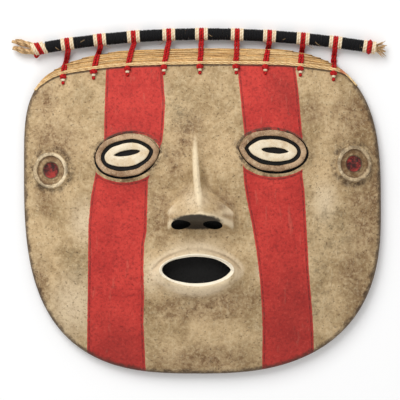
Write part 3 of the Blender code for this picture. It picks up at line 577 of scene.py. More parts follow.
def raise_ears(points):
    """Lifts each ear boss out along the surface's normal: a lip, a dish and a sunk centre with a collar."""
    lip = EAR_RADIUS - EAR_LIP
    profile = (
        (0.0, EAR_DISH - EAR_CENTRE_DEPTH * 0.6),
        (EAR_CENTRE_RADIUS * 0.82, EAR_DISH - EAR_CENTRE_DEPTH),
        (EAR_CENTRE_RADIUS, EAR_DISH + EAR_COLLAR_RISE),
        (EAR_CENTRE_RADIUS + EAR_COLLAR_WIDTH, EAR_DISH + EAR_COLLAR_RISE),
        (EAR_CENTRE_RADIUS + EAR_COLLAR_FOOT, EAR_DISH - EAR_COLLAR_DIP),
        (lip - EAR_LIP * 0.35, EAR_DISH),
        (lip, EAR_PROUD * 0.92),
        (EAR_RADIUS - EAR_LIP * 0.4, EAR_PROUD),
        (EAR_RADIUS, EAR_PROUD * 0.7),
        (EAR_RADIUS * 1.06, 0.0),
    )
    for ear in EAR_PLACES.values():
        place = surface_place(*on_face(ear))
        turn = np.array(place.to_3x3())
        local = (points - np.array(place.translation)) @ turn
        angle = np.arctan2(local[:, 1], local[:, 0])
        wobble = 1 + 0.018 * np.sin(3 * angle + 0.6) + 0.01 * np.sin(5 * angle)
        reach = np.hypot(local[:, 0], local[:, 1]) * wobble
        height = np.interp(reach, *zip(*profile))
        share = 1 - smooth_step(reach, EAR_RADIUS * 0.98, EAR_RADIUS * EAR_EDGE)
        local[:, 2] = local[:, 2] * (1 - share) + height * share
        near = reach < EAR_RADIUS * EAR_EDGE
        points[near] = local[near] @ turn.T + np.array(place.translation)
    return points


def cutter_from(name, outline, low, high, place, seed):
    """A straight-sided cutter with a slightly wavering outline, drawn flat and extruded."""
    circle = bpy.ops.mesh.primitive_circle_add
    cutter = drawn(name, circle, vertices=len(outline), radius=1, fill_type="NGON")
    flat = np.array([(x, y, low) for x, y in outline])
    flat[:, :2] *= 1 + CUT_WAVER * uneven(flat, CUT_SPACING, seed)[:, None]
    set_points(cutter, flat)
    bpy.ops.object.mode_set(mode="EDIT")
    bpy.ops.mesh.select_all(action="SELECT")
    bpy.ops.mesh.extrude_region_move(TRANSFORM_OT_translate={"value": (0, 0, high - low)})
    bpy.ops.mesh.select_all(action="SELECT")
    bpy.ops.mesh.normals_make_consistent(inside=False)
    bpy.ops.object.mode_set(mode="OBJECT")
    cutter.data.transform(place)
    return cutter


def oval_points(length, width, nose_side):
    """An oval's outline. The end on the nose's side is more pointed."""
    made = []
    for k in range(EYE_SIDES):
        angle = 2 * math.pi * (k + 0.5) / EYE_SIDES
        pointed = 1.0 + 0.42 * max(0.0, nose_side * math.cos(angle))
        rise = math.copysign(abs(math.sin(angle)) ** pointed, math.sin(angle))
        made.append((length / 2 * math.cos(angle), width / 2 * rise))
    return made


def hollow_cutter():
    grid = bpy.ops.mesh.primitive_grid_add
    cutter = drawn("hollow cutter", grid, x_subdivisions=HOLLOW_GRID, y_subdivisions=HOLLOW_GRID, size=2)
    flat = points_of(cutter)
    x, y = to_outline(flat[:, 0], flat[:, 1], rim=RIM_WIDTH)
    plan = np.stack([x, y, x * 0], axis=1)
    gouges = GOUGE_DEPTH * np.abs(uneven(plan * (1, 0.45, 1), GOUGE_SPACING, 5))
    worked = gouges + HOLLOW_WAVER * uneven(plan, HOLLOW_SPACING, 6)
    set_points(cutter, np.stack([x, y, hollow(x, y) + worked], axis=1))
    bpy.ops.object.mode_set(mode="EDIT")
    close_below(-RIM_HEIGHT)
    bpy.ops.object.mode_set(mode="OBJECT")
    return cutter


def nostril_cutter(side, name):
    x, y = on_face(NOSE_TIP)
    cutter = drawn(name, bpy.ops.mesh.primitive_uv_sphere_add, segments=32, ring_count=20, radius=1)
    height = float(dome(x, y)) + NOSTRIL_HALF[2] * 0.55
    centre = Vector((x + NOSTRIL_SHIFT + side * NOSTRIL_SPREAD, y - NOSTRIL_DROP, height))
    turn = Matrix.Rotation(math.radians(-NOSTRIL_TURN) * side, 4, "Z")
    cutter.data.transform(Matrix.Translation(centre) @ turn @ Matrix.Diagonal((*NOSTRIL_HALF, 1)))
    return cutter


def mouth_cutter():
    x, y = on_face(MOUTH_PLACE)
    floor = float(dome(x, y)) + MUZZLE_HEIGHT + LIP_HEIGHT / 2 - MOUTH_DEPTH
    outline = oval_points(MOUTH_LENGTH, MOUTH_OPENING, 1)
    place = Matrix.Translation((x, y, 0))
    return cutter_from("mouth cutter", outline, floor, floor + MOUTH_DEPTH * 3, place, 3)


def socket_cutter(side, eye):
    """The socket sits a little low and towards the ear, so that its gap, painted dark as shade, is wider
    there.
    """
    grown = 2 * SOCKET_CLEARANCE
    outline = oval_points(eye["length"] + grown, eye["width"] + grown, eye["nose_side"])
    drop = Matrix.Translation((-SOCKET_DROP * eye["nose_side"] * 0.6, -SOCKET_DROP, 0))
    low = -EYE_SUNK - TOUCH_GAP
    return cutter_from(f"socket {side}", outline, low, EYE_RIM_THICKNESS * 2, eye_place(eye) @ drop, 4)


def cut(piece, cutters):
    """Cuts pieces out of another and removes them."""
    only(*cutters)
    bpy.ops.object.join()
    cutter = bpy.context.active_object
    only(piece)
    carving = piece.modifiers.new("carving", "BOOLEAN")
    carving.operation = "DIFFERENCE"
    carving.object = cutter
    carving.solver = "EXACT"
    carving.material_mode = "TRANSFER"
    bpy.ops.object.modifier_apply(modifier=carving.name)
    bpy.data.objects.remove(cutter)


def stripe_depth(x, y):
    """How far inside a red stripe each place is, negative outside both."""
    up = y / (FACE_HEIGHT / 2) * 100
    found = np.full_like(x, -1.0)
    for edges in STRIPES:
        left, right = (np.interp(up, *zip(*reversed(edge))) / 100 * FACE_WIDTH / 2 for edge in edges)
        found = np.maximum(found, np.minimum(x - left, right - x))
    return found


def patches(x, y, places):
    """1 in the middle of each patch of patina and 0 outside them all."""
    found = np.zeros_like(x)
    for across, up, half_width, half_height in places:
        side = (x / (FACE_WIDTH / 2) * 100 - across) / half_width
        rise = (y / (FACE_HEIGHT / 2) * 100 - up) / half_height
        found = np.maximum(found, smooth_bump(np.hypot(side, rise), 1.3))
    return found


def under_eyes(x, y):
    """1 along the lower side of each eye and 0 along its upper side."""
    found = np.zeros_like(x)
    for eye in EYES.values():
        place = on_face(eye["place"])
        near = smooth_bump(np.abs(x - place[0]), eye["length"])
        found += np.where(near > 0, smooth_step((place[1] - y) / (eye["width"] / 2), 0.3, 0.9), 0.0)
    return np.minimum(found, 1.0)


def ear_reach(points):
    """Distance from the middle of the nearer ear, in its own plane."""
    found = np.full(len(points), 1.0)
    for ear in EAR_PLACES.values():
        place = surface_place(*on_face(ear))
        local = (points - np.array(place.translation)) @ np.array(place.to_3x3())
        found = np.minimum(found, np.hypot(local[:, 0], local[:, 1]))
    return found


def write_mask(piece, name, values):
    """Keeps one value for each point, which a material reads by this name. Lengths are in millimetres."""
    layer = piece.data.attributes.new(name, "FLOAT", "POINT")
    layer.data.foreach_set("value", np.asarray(values, np.float32))


def mark_face(face):
    """Distances and patches that the paint follows, at each point of the face."""
    points = points_of(face)
    x, y, z = points.T
    eyes = np.minimum(*(beside_eye(x, y, eye) for eye in EYES.values()))
    ears = ear_reach(points)
    uncut = (ears < EAR_RADIUS * CLEAR_OF_CUTS) | (OUTER.inside(x, y) < RIM_WIDTH * CLEAR_OF_CUTS)
    sunk = np.where(uncut, 0.0, front(x, y) - z)
    reach = CREASE_REACH
    around = sum(front(x + dx, y + dy) for dx, dy in ((reach, 0), (-reach, 0), (0, reach), (0, -reach))) / 4
    inner = smooth_step(OUTER.inside(x, y), EDGE_ROUND, EDGE_ROUND * 2)
    write_mask(face, "stripe", stripe_depth(x, y) * MILLIMETRES)
    write_mask(face, "rim", OUTER.inside(x, y) * MILLIMETRES)
    write_mask(face, "eye", eyes * MILLIMETRES)
    write_mask(face, "bare", BARE_UNDER_EYE * under_eyes(x, y) * MILLIMETRES - eyes * MILLIMETRES)
    write_mask(face, "ear", ears * MILLIMETRES)
    lips = oval(x, y, on_face(MOUTH_PLACE), MOUTH_LENGTH, MOUTH_OPENING)[0]
    write_mask(face, "lip", lips * MILLIMETRES)
    write_mask(face, "band", (BAND.edges(x) - y) * MILLIMETRES)
    write_mask(face, "sunk", sunk * MILLIMETRES)
    write_mask(face, "height", z * MILLIMETRES)
    # Where the painted shadow under the nose lies
    tip_x, tip_y = on_face(NOSE_TIP)
    aside = (x - tip_x - NOSTRIL_SHIFT) / UNDER_NOSE[0]
    below = (y - tip_y + NOSTRIL_DROP - UNDER_NOSE_RISE) / UNDER_NOSE[1]
    write_mask(face, "under nose", np.hypot(aside, below))
    write_mask(face, "crease", (around - front(x, y)) * inner * MILLIMETRES)
    for name, places in (
        ("brown", BROWN_STAIN_AND_SHADE_PATCHES),
        ("green", GREEN_PATCHES),
        ("pale", PAINTED_LIGHT_PATCHES),
        ("dark red", DARK_RED_AND_SHADE_PATCHES),
    ):
        write_mask(face, name, patches(x, y, places))


def make_face():
    """The carved shell, from one grid stretched to the outline, finer round the carving."""
    grid = bpy.ops.mesh.primitive_grid_add
    face = drawn("carved_face", grid, x_subdivisions=GRID, y_subdivisions=GRID, size=2)
    flat = points_of(face)
    x, y = to_outline(flat[:, 0], flat[:, 1], 0.0, EDGE_ROWS, EDGE_ROUND * 1.3, GRID / 2)
    set_points(face, np.stack([x, y, x * 0], axis=1))
    bpy.ops.object.mode_set(mode="EDIT")
    select_faces(near_carving)
    bpy.ops.mesh.subdivide(number_cuts=1)
    bpy.ops.object.mode_set(mode="OBJECT")
    x, y, z = points_of(face).T
    plan = np.stack([x, y, z], axis=1)
    inner = smooth_step(OUTER.inside(x, y), 0.0, CALM_EDGE)
    waver = KNIFE_WAVER * uneven(plan, KNIFE_SPACING, 1) + GRAIN_WAVER * uneven(plan, GRAIN_SPACING, 2)
    points = np.stack([x, y, front(x, y) + waver * inner], axis=1)
    set_points(face, raise_ears(points))
    bpy.ops.object.mode_set(mode="EDIT")
    close_below(0)
    bpy.ops.object.mode_set(mode="OBJECT")
    back = hollow_cutter()
    back.data.materials.append(bare_wood())
    carved = [mouth_cutter(), nostril_cutter(-1, "nostril left"), nostril_cutter(1, "nostril right")]
    carved += [socket_cutter(side, eye) for side, eye in EYES.items()]
    for piece in (face, *carved):
        piece.data.materials.append(face_paint())
    cut(face, [back, *carved])
    mark_face(face)
    only(face)
    bpy.ops.object.shade_smooth_by_angle(angle=math.radians(FACE_SMOOTH_ANGLE))
    return face


def place_selected(ring):
    """Moves the selected points to a ring's places, in their order round the middle."""
    shape = bmesh.from_edit_mesh(bpy.context.object.data)
    picked = [point for point in shape.verts if point.select]
    picked.sort(key=lambda point: math.atan2(point.co.y, point.co.x) % (2 * math.pi))
    for point, place in zip(picked, ring):
        point.co = place
    bmesh.update_edit_mesh(bpy.context.object.data)


def loft(name, rings, open_middle):
    """A piece drawn as rings of points in turn. Its last ring meets the first, or both are filled."""
    circle = bpy.ops.mesh.primitive_circle_add
    piece = drawn(name, circle, vertices=EYE_SIDES, radius=1, fill_type="NOTHING")
    set_points(piece, rings[0])
    bpy.ops.object.mode_set(mode="EDIT")
    bpy.ops.mesh.select_all(action="SELECT")
    for ring in rings[1:]:
        bpy.ops.mesh.extrude_edges_move()
        place_selected(ring)
    if not open_middle:
        bpy.ops.mesh.edge_face_add()
    bpy.ops.mesh.select_all(action="SELECT")
    bpy.ops.mesh.region_to_loop()
    if open_middle:
        bpy.ops.mesh.bridge_edge_loops()
    else:
        bpy.ops.mesh.edge_face_add()
    bpy.ops.mesh.select_all(action="SELECT")
    bpy.ops.mesh.normals_make_consistent(inside=False)
    bpy.ops.object.mode_set(mode="OBJECT")
    return piece


def eye_ring(eye, inset, height):
    """An eye's oval, drawn in by an inset."""
    plan = oval_points(eye["length"] - 2 * inset, eye["width"] - 2 * inset, eye["nose_side"])
    return np.array([(x, y, height) for x, y in plan])


def slit_ring(side, eye, height):
    """The slit's outline, pointed at the ear's end."""
    plan = oval_points(SLIT_LENGTH, SLIT_WIDTH, -eye["nose_side"])
    return np.array([(x, y, height) for x, y in plan]) + (*SLIT_SHIFTS[side], 0)


def roughen(piece, amount, size, seed):
    """Pushes each point a little, as hand work leaves a surface."""
    points = points_of(piece)
    shifts = np.stack([uneven(points, size, seed + k) for k in range(3)], axis=1)
    set_points(piece, points + shifts * amount)


def eye_rim(side, eye, low, top):
    profile = (
        (0.0002, low), (0.0, low + 0.002), (0.0001, top - 0.0013), (0.0005, top - 0.0005),
        (0.0012, top - 0.0001), (0.0024, top), (EYE_RIM_WIDTH - 0.0007, top - 0.0001),
        (EYE_RIM_WIDTH - 0.0002, top - 0.0004), (EYE_RIM_WIDTH, top - 0.0009), (EYE_RIM_WIDTH, low),
    )
    rim = loft(f"carved_rim_{side}", [eye_ring(eye, *step) for step in profile], open_middle=True)
    roughen(rim, 0.0007, 0.011, 11)
    roughen(rim, 0.00018, 0.003, 12)
    return rim


def eye_bed(side, eye, low, bed_top):
    inset = EYE_RIM_WIDTH + TOUCH_GAP / 2
    profile = (
        (inset, low + 0.001), (inset, bed_top + 0.0001), (inset + 0.0006, bed_top - 0.0003),
        (inset + PITCH_LINE, bed_top - 0.0002), (eye["width"] * 0.4, bed_top - 0.0004),
    )
    bed = loft(f"pitch_bed_{side}", [eye_ring(eye, *step) for step in profile], open_middle=False)
    roughen(bed, 0.00014, 0.003, 14)
    return bed


def eye_shell(side, eye, low):
    """A plate that bulges between its outer edge and the slit."""
    outer = eye_ring(eye, EYE_RIM_WIDTH + PITCH_LINE, 0)
    slit = slit_ring(side, eye, 0)
    bulge = (
        (0.0, 0.0), (0.0, 0.7), (0.04, 0.95), (0.10, 1.05), (0.35, 1.2), (0.65, 1.2), (0.9, 1.1),
        (0.97, 0.95), (1.0, 0.6), (1.0, 0.0),
    )
    rings = [outer + (slit - outer) * share + (0, 0, low + rise * SHELL_THICKNESS) for share, rise in bulge]
    shell = loft(f"slit_shell_{side}", rings, open_middle=True)
    roughen(shell, 0.0004, 0.006, 17)
    return shell


def make_eye(side, eye):
    """A worn wooden rim, a bed of black pitch and a slit shell plate."""
    low = -EYE_SUNK
    top = low + EYE_RIM_THICKNESS
    bed_top = top - PITCH_BELOW_RIM
    for piece, paint, slot, node in (
        (eye_rim(side, eye, low, top), worn_rim(), "eye_wood", "eye_rim"),
        (eye_bed(side, eye, low, bed_top), pitch(), "pitch", "eye_pitch"),
        (eye_shell(side, eye, bed_top), cream_shell(), "shell", "eye_shell"),
    ):
        piece.data.transform(eye_place(eye))
        only(piece)
        bpy.ops.object.shade_smooth_by_angle(angle=math.radians(EYE_SMOOTH_ANGLE))
        dress(piece, paint, slot, f"{node}_{side}")


def frames_along(path):
    """Unit side and up directions that follow a path and don't spin about it."""
    along = np.gradient(path, axis=0)
    along /= np.linalg.norm(along, axis=1)[:, None]
    side = np.empty_like(path)
    start = np.cross(along[0], (0, 0, 1))
    if np.linalg.norm(start) < 1e-3:
        start = np.cross(along[0], (0, 1, 0))
    side[0] = start / np.linalg.norm(start)
    for k in range(1, len(path)):
        carried = side[k - 1] - along[k] * np.dot(side[k - 1], along[k])
        side[k] = carried / np.linalg.norm(carried)
    return side, np.cross(side, along)


class Threads:
    """Threads swept along paths and gathered in one mesh.

    Their UV map holds the length along, in metres, and the turn around, from 0 to 1.
    """

    def __init__(self):
        self.points = []
        self.faces = []
        self.map = []
        self.count = 0

    def lay(self, path, radius, sides=8, lobes=2, depth=0.1, pitch=0.004, press=1.0):
        """Adds one thread with a radius along its path. The lobes of its section turn once in each pitch."""
        path = np.asarray(path, float)
        side, up = frames_along(path)
        length = np.concatenate([[0], np.cumsum(np.linalg.norm(np.diff(path, axis=0), axis=1))])
        angle = 2 * math.pi * np.arange(sides) / sides
        grow = 1 + depth * np.cos(lobes * angle[None, :] - 2 * math.pi * length[:, None] / pitch)
        reach = np.broadcast_to(radius, len(path))[:, None] * grow
        across = side[:, None, :] * (np.cos(angle) * reach)[:, :, None]
        above = up[:, None, :] * (np.sin(angle) * reach * press)[:, :, None]
        rings = path[:, None, :] + across + above
        self.points.append(rings.reshape(-1, 3))
        here = np.arange(len(path) - 1)[:, None] * sides + np.arange(sides)[None, :]
        beside = np.arange(len(path) - 1)[:, None] * sides + (np.arange(sides)[None, :] + 1) % sides
        quads = np.stack([here, here + sides, beside + sides, beside], axis=2).reshape(-1, 4) + self.count
        self.faces += quads.tolist()
        first = np.arange(sides) + self.count
        last = first + (len(path) - 1) * sides
        self.faces += [first.tolist(), last[::-1].tolist()]
        v = np.arange(sides) / sides
        u0 = np.repeat(length[:-1, None], sides, axis=1)
        u1 = np.repeat(length[1:, None], sides, axis=1)
        v0 = np.repeat(v[None, :], len(path) - 1, axis=0)
        v1 = v0 + 1 / sides
        corners = [np.stack(pair, axis=2) for pair in ((u0, v0), (u1, v0), (u1, v1), (u0, v1))]
        self.map.append(np.stack(corners, axis=2).reshape(-1, 2))
        self.map.append(np.stack([np.full(sides, length[0]), v], axis=1))
        self.map.append(np.stack([np.full(sides, length[-1]), v[::-1]], axis=1))
        self.count += len(path) * sides

    def wind(self, path, radius):
        """Adds a yarn of two shallow plies, as it is wound on the cord."""
        self.lay(path, radius, sides=8, depth=0.08)

    def piece(self, name):
        """The gathered threads as one object, none of it below the floor."""
        points = np.concatenate(self.points)
        points[:, 2] = np.maximum(points[:, 2], 0.0)
        mesh = bpy.data.meshes.new(name)
        mesh.from_pydata(points.tolist(), [], self.faces)
        layer = mesh.uv_layers.new(name="thread")
        layer.data.foreach_set("uv", np.concatenate(self.map).ravel())
        mesh.shade_smooth()
        made = bpy.data.objects.new(name, mesh)
        bpy.context.scene.collection.objects.link(made)
        return made


class Ground:
    """What later pieces rest on, seen from above."""

    def __init__(self, *trees):
        self.trees = list(trees)

    def add(self, piece):
        shape = bmesh.new()
        shape.from_mesh(piece.data)
        self.trees.append(BVHTree.FromBMesh(shape))
        shape.free()

    def top(self, x, y):
        found = [tree.ray_cast(Vector((x, y, 1.0)), Vector((0, 0, -1)))[0] for tree in self.trees]
        return max((hit.z for hit in found if hit is not None), default=0.0)


class Band:
    """The brow band's lower edge, by the length along it."""

    def __init__(self):
        self.curve = spline([on_face((x / 100, y / 100)) for x, y in BAND_LINE], 16)
        along = np.gradient(self.curve, axis=0)
        along /= np.linalg.norm(along, axis=1)[:, None]
        self.across = np.stack([-along[:, 1], along[:, 0]], axis=1)
        steps = np.linalg.norm(np.diff(self.curve, axis=0), axis=1)
        self.places = np.concatenate([[0], np.cumsum(steps)])

    def edges(self, x):
        """How high up the face the lower edge is at each x."""
        return np.interp(x, self.curve[:, 0], self.curve[:, 1])

    def slant(self, x):
        return 1 / float(np.interp(x, self.curve[:, 0], self.across[:, 1]))

    def plan(self, places, offset):
        """Plan points this far above the lower edge."""
        x, y = (np.interp(places, self.places, self.curve[:, k]) for k in (0, 1))
        out_x, out_y = (np.interp(places, self.places, self.across[:, k]) for k in (0, 1))
        return x + offset * out_x, y + offset * out_y


BAND = Band()


def laid_heights(x, y, ground, rise):
    """Heights of a soft strand that lies on the ground, eased over small steps."""
    tops = np.array([ground.top(a, b) for a, b in zip(x, y)]) + rise
    padded = np.pad(tops, 2, mode="edge")
    eased = sum(padded[k : k + len(tops)] * share for k, share in enumerate((0.1, 0.2, 0.4, 0.2, 0.1)))
    return np.maximum(eased, tops - rise * 0.3)


def strand_path(offset, ground, radius, chance, waver=STRAND_WAVER):
    """One strand's path over the brow and down over both edges."""
    places = np.arange(0, BAND.places[-1], STRAND_STEP)
    sway = np.array([noise.noise(Vector((p * 55, chance, 0))) for p in places]) * waver
    x, y = BAND.plan(places, offset + sway)
    if offset < TAIL_STRANDS * STRAND_PITCH:
        pulled = np.minimum((OUTER.reach(x, y) - radius * 0.5) / np.hypot(x, y), 1.0)
        x, y = x * pulled, y * pulled
    kept = OUTER.inside(x, y) > 0
    x, y = x[kept], y[kept]
    path = np.stack([x, y, laid_heights(x, y, ground, radius * 0.75)], axis=1)
    ends = []
    for here, inner in ((path[0], path[3]), (path[-1], path[-4])):
        away = (here - inner)[:2]
        away /= np.linalg.norm(away)
        steps = []
        for share in (0.3, 0.6, 0.85, 1.0):
            spot = here[:2] + away * radius * 1.6 * share
            edge = spot / np.hypot(*spot) * (OUTER.reach(*spot) + radius * 0.25)
            drop = here[2] + (STRAND_END_HEIGHT - here[2]) * (1 - math.cos(share * math.pi / 2))
            steps.append((*(edge * share + spot * (1 - share)), drop))
        ends.append(steps)
    return np.array([*ends[0][::-1], *path, *ends[1]])


def make_band(face_ground, laid):
    """The upper strands of the brow band, with finer fibres lying on them."""
    chance = random.Random(4)
    for number in range(2, STRAND_COUNT + 1):
        threads = Threads()
        radius = STRAND_RADIUS * chance.uniform(0.9, 1.12)
        path = strand_path((number - 0.5) * STRAND_PITCH, face_ground, radius, number * 9.7)
        steps = np.arange(len(path))
        taper = 1 - STRAND_TAPER * (1 - smooth_step(np.minimum(steps, steps[::-1]), 0, 16))
        threads.lay(path, radius * taper, sides=10, lobes=3, depth=0.09, pitch=0.021, press=0.86)
        strand = threads.piece(f"fibre_strand_{number}")
        laid.add(strand)
        nodes = [f"band_strand_{number}"] if number < STRAND_COUNT else []
        dress(strand, straw(), "plant_fibre", *nodes)
    fine = Threads()
    for number in range(FINE_FIBRES):
        offset = chance.uniform(1.6, STRAND_COUNT - 0.1) * STRAND_PITCH
        first = chance.uniform(0.01, 0.8) * BAND.places[-1]
        last = min(first + chance.uniform(0.03, 0.12), BAND.places[-1])
        places = np.arange(first, last, FINE_FIBRE_STEP)
        drift = np.linspace(0, chance.uniform(-1.4, 1.4) * STRAND_PITCH, len(places))
        x, y = BAND.plan(places, offset + drift)
        kept = OUTER.inside(x, y) > 0.001
        x, y = x[kept], y[kept]
        if len(x) > 4:
            path = np.stack([x, y, laid_heights(x, y, laid, FINE_FIBRE_LIFT)], axis=1)
            fine.lay(path, chance.uniform(0.0002, 0.00036), sides=5, depth=0)
    dress(fine.piece("band_fine_fibres"), pale_straw(), "plant_fibre")


def make_band_cord(ground):
    """The band's lowest strand: two thin cords side by side that pass over the ties."""
    threads = Threads()
    for number, (offset, radius) in enumerate(EDGE_CORDS):
        path = strand_path(offset, ground, radius, 71.0 + 12 * number, 0.0001)
        threads.lay(path, radius, sides=8, lobes=2, depth=0.12, pitch=0.005, press=0.95)
    dress(threads.piece("band_edge_cord"), pale_straw(), "plant_fibre", "band_strand_1")


CORD_HALF = FACE_WIDTH / 2 - CORD_INSET
CORD_BOW = (CORD_HALF**2 + CORD_RISE**2) / (2 * CORD_RISE)
CORD_TOP = FACE_HEIGHT / 2 + CORD_TO_BROW + CORE_RADIUS + BLACK_WRAP
RED_REACH = CORE_RADIUS + 2 * TOUCH_GAP + CREAM_UNDER_RED + RED_WRAP
CORD_HEIGHT = RED_REACH * math.cos(math.pi / WRAP_SIDES)
CORD_LEFT = CORD_SHIFT - CORD_HALF
CORD_RIGHT = CORD_SHIFT + CORD_HALF


def round_cord(x, angle, reach):
    """Points round the cord's axis. Angle 0 is towards the top of the picture and a quarter turn is up."""
    lean = np.arcsin((x - CORD_SHIFT) / CORD_BOW)
    sag = CORD_SETTLED + CORD_LEFT_SAG * np.clip((CORD_SHIFT - x) / CORD_HALF, 0, 1.2) ** 2
    y = CORD_TOP - CORD_BOW * (1 - np.cos(lean)) - sag
    out = reach * np.cos(angle)
    height = CORD_HEIGHT + reach * np.sin(angle)
    return np.stack([x + np.sin(lean) * out, y + np.cos(lean) * out, height], axis=-1)


def beside_cord(x, across, rise):
    """Points this far from the cord's axis, across the picture and up."""
    return round_cord(x, x * 0, 0) + np.stack([x * 0, across, rise], axis=1)


def winding(low, high, yarn, reach, seed, lean=0.0, rough=0.02):
    """The path of yarn wound closely round the cord from one x to another.

    Each turn is straight until it steps over to the next one, on the cord's underside.
    """
    columns = max(round((high - low) / (2 * yarn)), 1)
    turn = np.linspace(0, columns, columns * 18 + 1)
    over = np.minimum(np.floor(turn) + smooth_step(turn % 1, 0.78, 1.0), columns - 1)
    angle = 2 * math.pi * (turn - 0.89) + math.pi / 2
    waver = np.array([noise.noise(Vector((a * 0.9, seed, 0))) for a in angle])
    slip = np.array([noise.noise(Vector((a * 0.5, seed + 40, 0))) for a in angle])
    x = low + yarn + (high - low - 2 * yarn) * over / max(columns - 1, 1)
    x += slip * yarn * 0.22 - lean * np.cos(angle)
    return round_cord(x, -angle, reach * (1 + rough * waver))


def tie_places():
    half = FACE_WIDTH / 2
    return [(cord_x / 100 * half, knot_x / 100 * half) for cord_x, knot_x in TIES]


def make_wraps():
    """Black yarn along the cord, with a cream and red band under each tie and at both ends."""
    bands = [CORD_LEFT + BAND_LENGTH / 2, *(x for x, _ in tie_places()), CORD_RIGHT - BAND_LENGTH / 2]
    half, red_half = BAND_LENGTH / 2, RED_LENGTH / 2
    for number, x in enumerate(bands, 1):
        cream = Threads()
        reach = CORE_RADIUS + TOUCH_GAP / 2 + CREAM_YARN
        lean = END_LEAN if number == 1 else 0.0
        for low, high in ((x - half, x - red_half), (x + red_half, x + half)):
            path = winding(low, high, CREAM_YARN, reach, number * 2.3 + low, lean)
            cream.wind(path, CREAM_YARN)
        piece = cream.piece(f"cream_yarn_{number:02d}")
        dress(piece, yarn("cream"), "cream_yarn", f"cream_wrap_{number:02d}")
    for number, (here, after) in enumerate(zip(bands, bands[1:]), 1):
        black = Threads()
        reach = CORE_RADIUS + TOUCH_GAP / 2 + BLACK_YARN
        path = winding(here + half, after - half, BLACK_YARN, reach, number * 1.9, rough=0.07)
        black.lay(path, BLACK_YARN * 1.08, sides=6, depth=0.12)
        piece = black.piece(f"black_yarn_{number:02d}")
        dress(piece, yarn("black"), "black_yarn", f"black_wrap_{number:02d}")
    left, right = Threads(), Threads()
    left.wind(red_ring(bands[0], END_LEAN), RED_YARN)
    left.wind(end_loop(bands[0]), RED_YARN * 0.9)
    right.wind(red_ring(bands[-1]), RED_YARN)
    over = winding(bands[-1] - RED_YARN, bands[-1] + RED_YARN, RED_YARN, RED_REACH - RED_YARN * 0.3, 5.0)
    right.wind(over, RED_YARN)
    for side, threads in (("left", left), ("right", right)):
        dress(threads.piece(f"red_end_yarn_{side}"), yarn("red"), "red_yarn", f"red_end_wrap_{side}")


def end_loop(x):
    """A small loop of red yarn that hangs out under the left end's band."""
    share = np.linspace(0, 1, 16)
    along = x - RED_LOOP_START - RED_LOOP_LENGTH * np.sin(share * math.pi * 0.55)
    out = RED_REACH - RED_YARN + RED_LOOP_DEPTH * np.sin(share * math.pi)
    return round_cord(along, math.pi + 0.25 * np.cos(share * math.pi), out)


def red_ring(x, lean=0.0):
    reach = RED_REACH - RED_YARN - RED_RING_SUNK
    return winding(x - RED_LENGTH / 2, x + RED_LENGTH / 2, RED_YARN, reach, x * 90, lean)


def loop_fibres(threads, chance):
    """Two fat bundles of fibre round a narrow eye, bent up a little, with an open tip."""
    share = np.linspace(0, 1, 26)
    length = LOOP_LENGTH + LOOP_OVERRUN
    for branch in (-1, 1):
        for number in range(LOOP_FIBRES):
            angle = 2.4 * number
            spot = LOOP_BUNDLE * 0.7 * math.sqrt((number + 0.5) / LOOP_FIBRES)
            opening = np.sin(np.clip(share * 1.7, 0, 1) * math.pi / 2)
            bulge = LOOP_WIDTH / 2 * 0.45 * opening * (1 - 0.3 * share**2)
            across = branch * (LOOP_HALF_GAP + bulge) + spot * math.cos(angle) * (1 - 0.35 * share**3)
            rise = spot * math.sin(angle) + 0.0003 * np.sin(share * 7 + number)
            reach = length * chance.uniform(0.82, 1.0)
            x = CORD_LEFT + LOOP_ROOT - share * reach
            lift = LOOP_RISE * share**1.2 + 0.0003 * np.sin(share * 9 + number * 2)
            path = beside_cord(x, across + lift, rise)
            threads.lay(path, LOOP_FIBRE * (1 - 0.5 * share**4), sides=7, lobes=2, depth=0.18, pitch=0.006)


def tuft_fibres(threads, chance):
    """A frayed fan at the cord's right end, most of it leaning up."""
    share = np.linspace(0, 1, 9)
    for number in range(TUFT_FIBRES):
        lean = math.radians(chance.uniform(-6, 44) if number % 4 else chance.uniform(-40, -22))
        length = TUFT_LENGTH * chance.uniform(0.6, 0.98)
        curl = chance.uniform(-0.0015, 0.0015)
        start = chance.uniform(-0.75, 0.75) * CORE_RADIUS
        x = CORD_RIGHT - TUFT_ROOT + share * length * math.cos(lean)
        across = start * (1 - 0.35 * share) + share * length * math.sin(lean) + curl * share**2
        depth = chance.uniform(-0.7, 0.7) * CORE_RADIUS
        rise = depth * (1 - 0.4 * share) + share * chance.uniform(-0.0015, 0.0015)
        path = beside_cord(x, across, rise)
        threads.lay(path, TUFT_FIBRE * (1 - 0.65 * share), sides=6, lobes=2, depth=0.15, pitch=0.006)


def stray_fibres(threads, chance):
    """Thin fibres that stick out under the cord beside some ties, and short ones caught in its yarn."""
    share = np.linspace(0, 1, 8)
    places = tie_places()
    for number in STRAY_TIES:
        x = places[number][0] + chance.choice((-1, 1)) * RED_LENGTH * chance.uniform(0.6, 1.1)
        run = chance.uniform(0.001, 0.006) * chance.choice((-1, 1))
        out = CORE_RADIUS + share * chance.uniform(0.003, 0.006)
        path = round_cord(x + run * share**1.6, math.pi + 0.15 * share, out)
        path[:, 2] = np.maximum(path[:, 2], STRAY_LOWEST)
        threads.lay(path, STRAY_FIBRE * (1 - 0.4 * share), sides=5, depth=0)
    for number in range(CAUGHT_FIBRES):
        x = CORD_LEFT + (number + chance.uniform(0.3, 0.7)) / CAUGHT_FIBRES * 2 * CORD_HALF
        run = chance.uniform(0.0015, 0.005) * chance.choice((-1, 1))
        turn = math.pi / 2 + chance.uniform(-0.5, 0.4) + chance.uniform(0.3, 0.8) * share
        path = round_cord(x + run * share, turn, CORE_RADIUS + 2.1 * BLACK_YARN)
        threads.lay(path, CAUGHT_FIBRE, sides=5, depth=0)


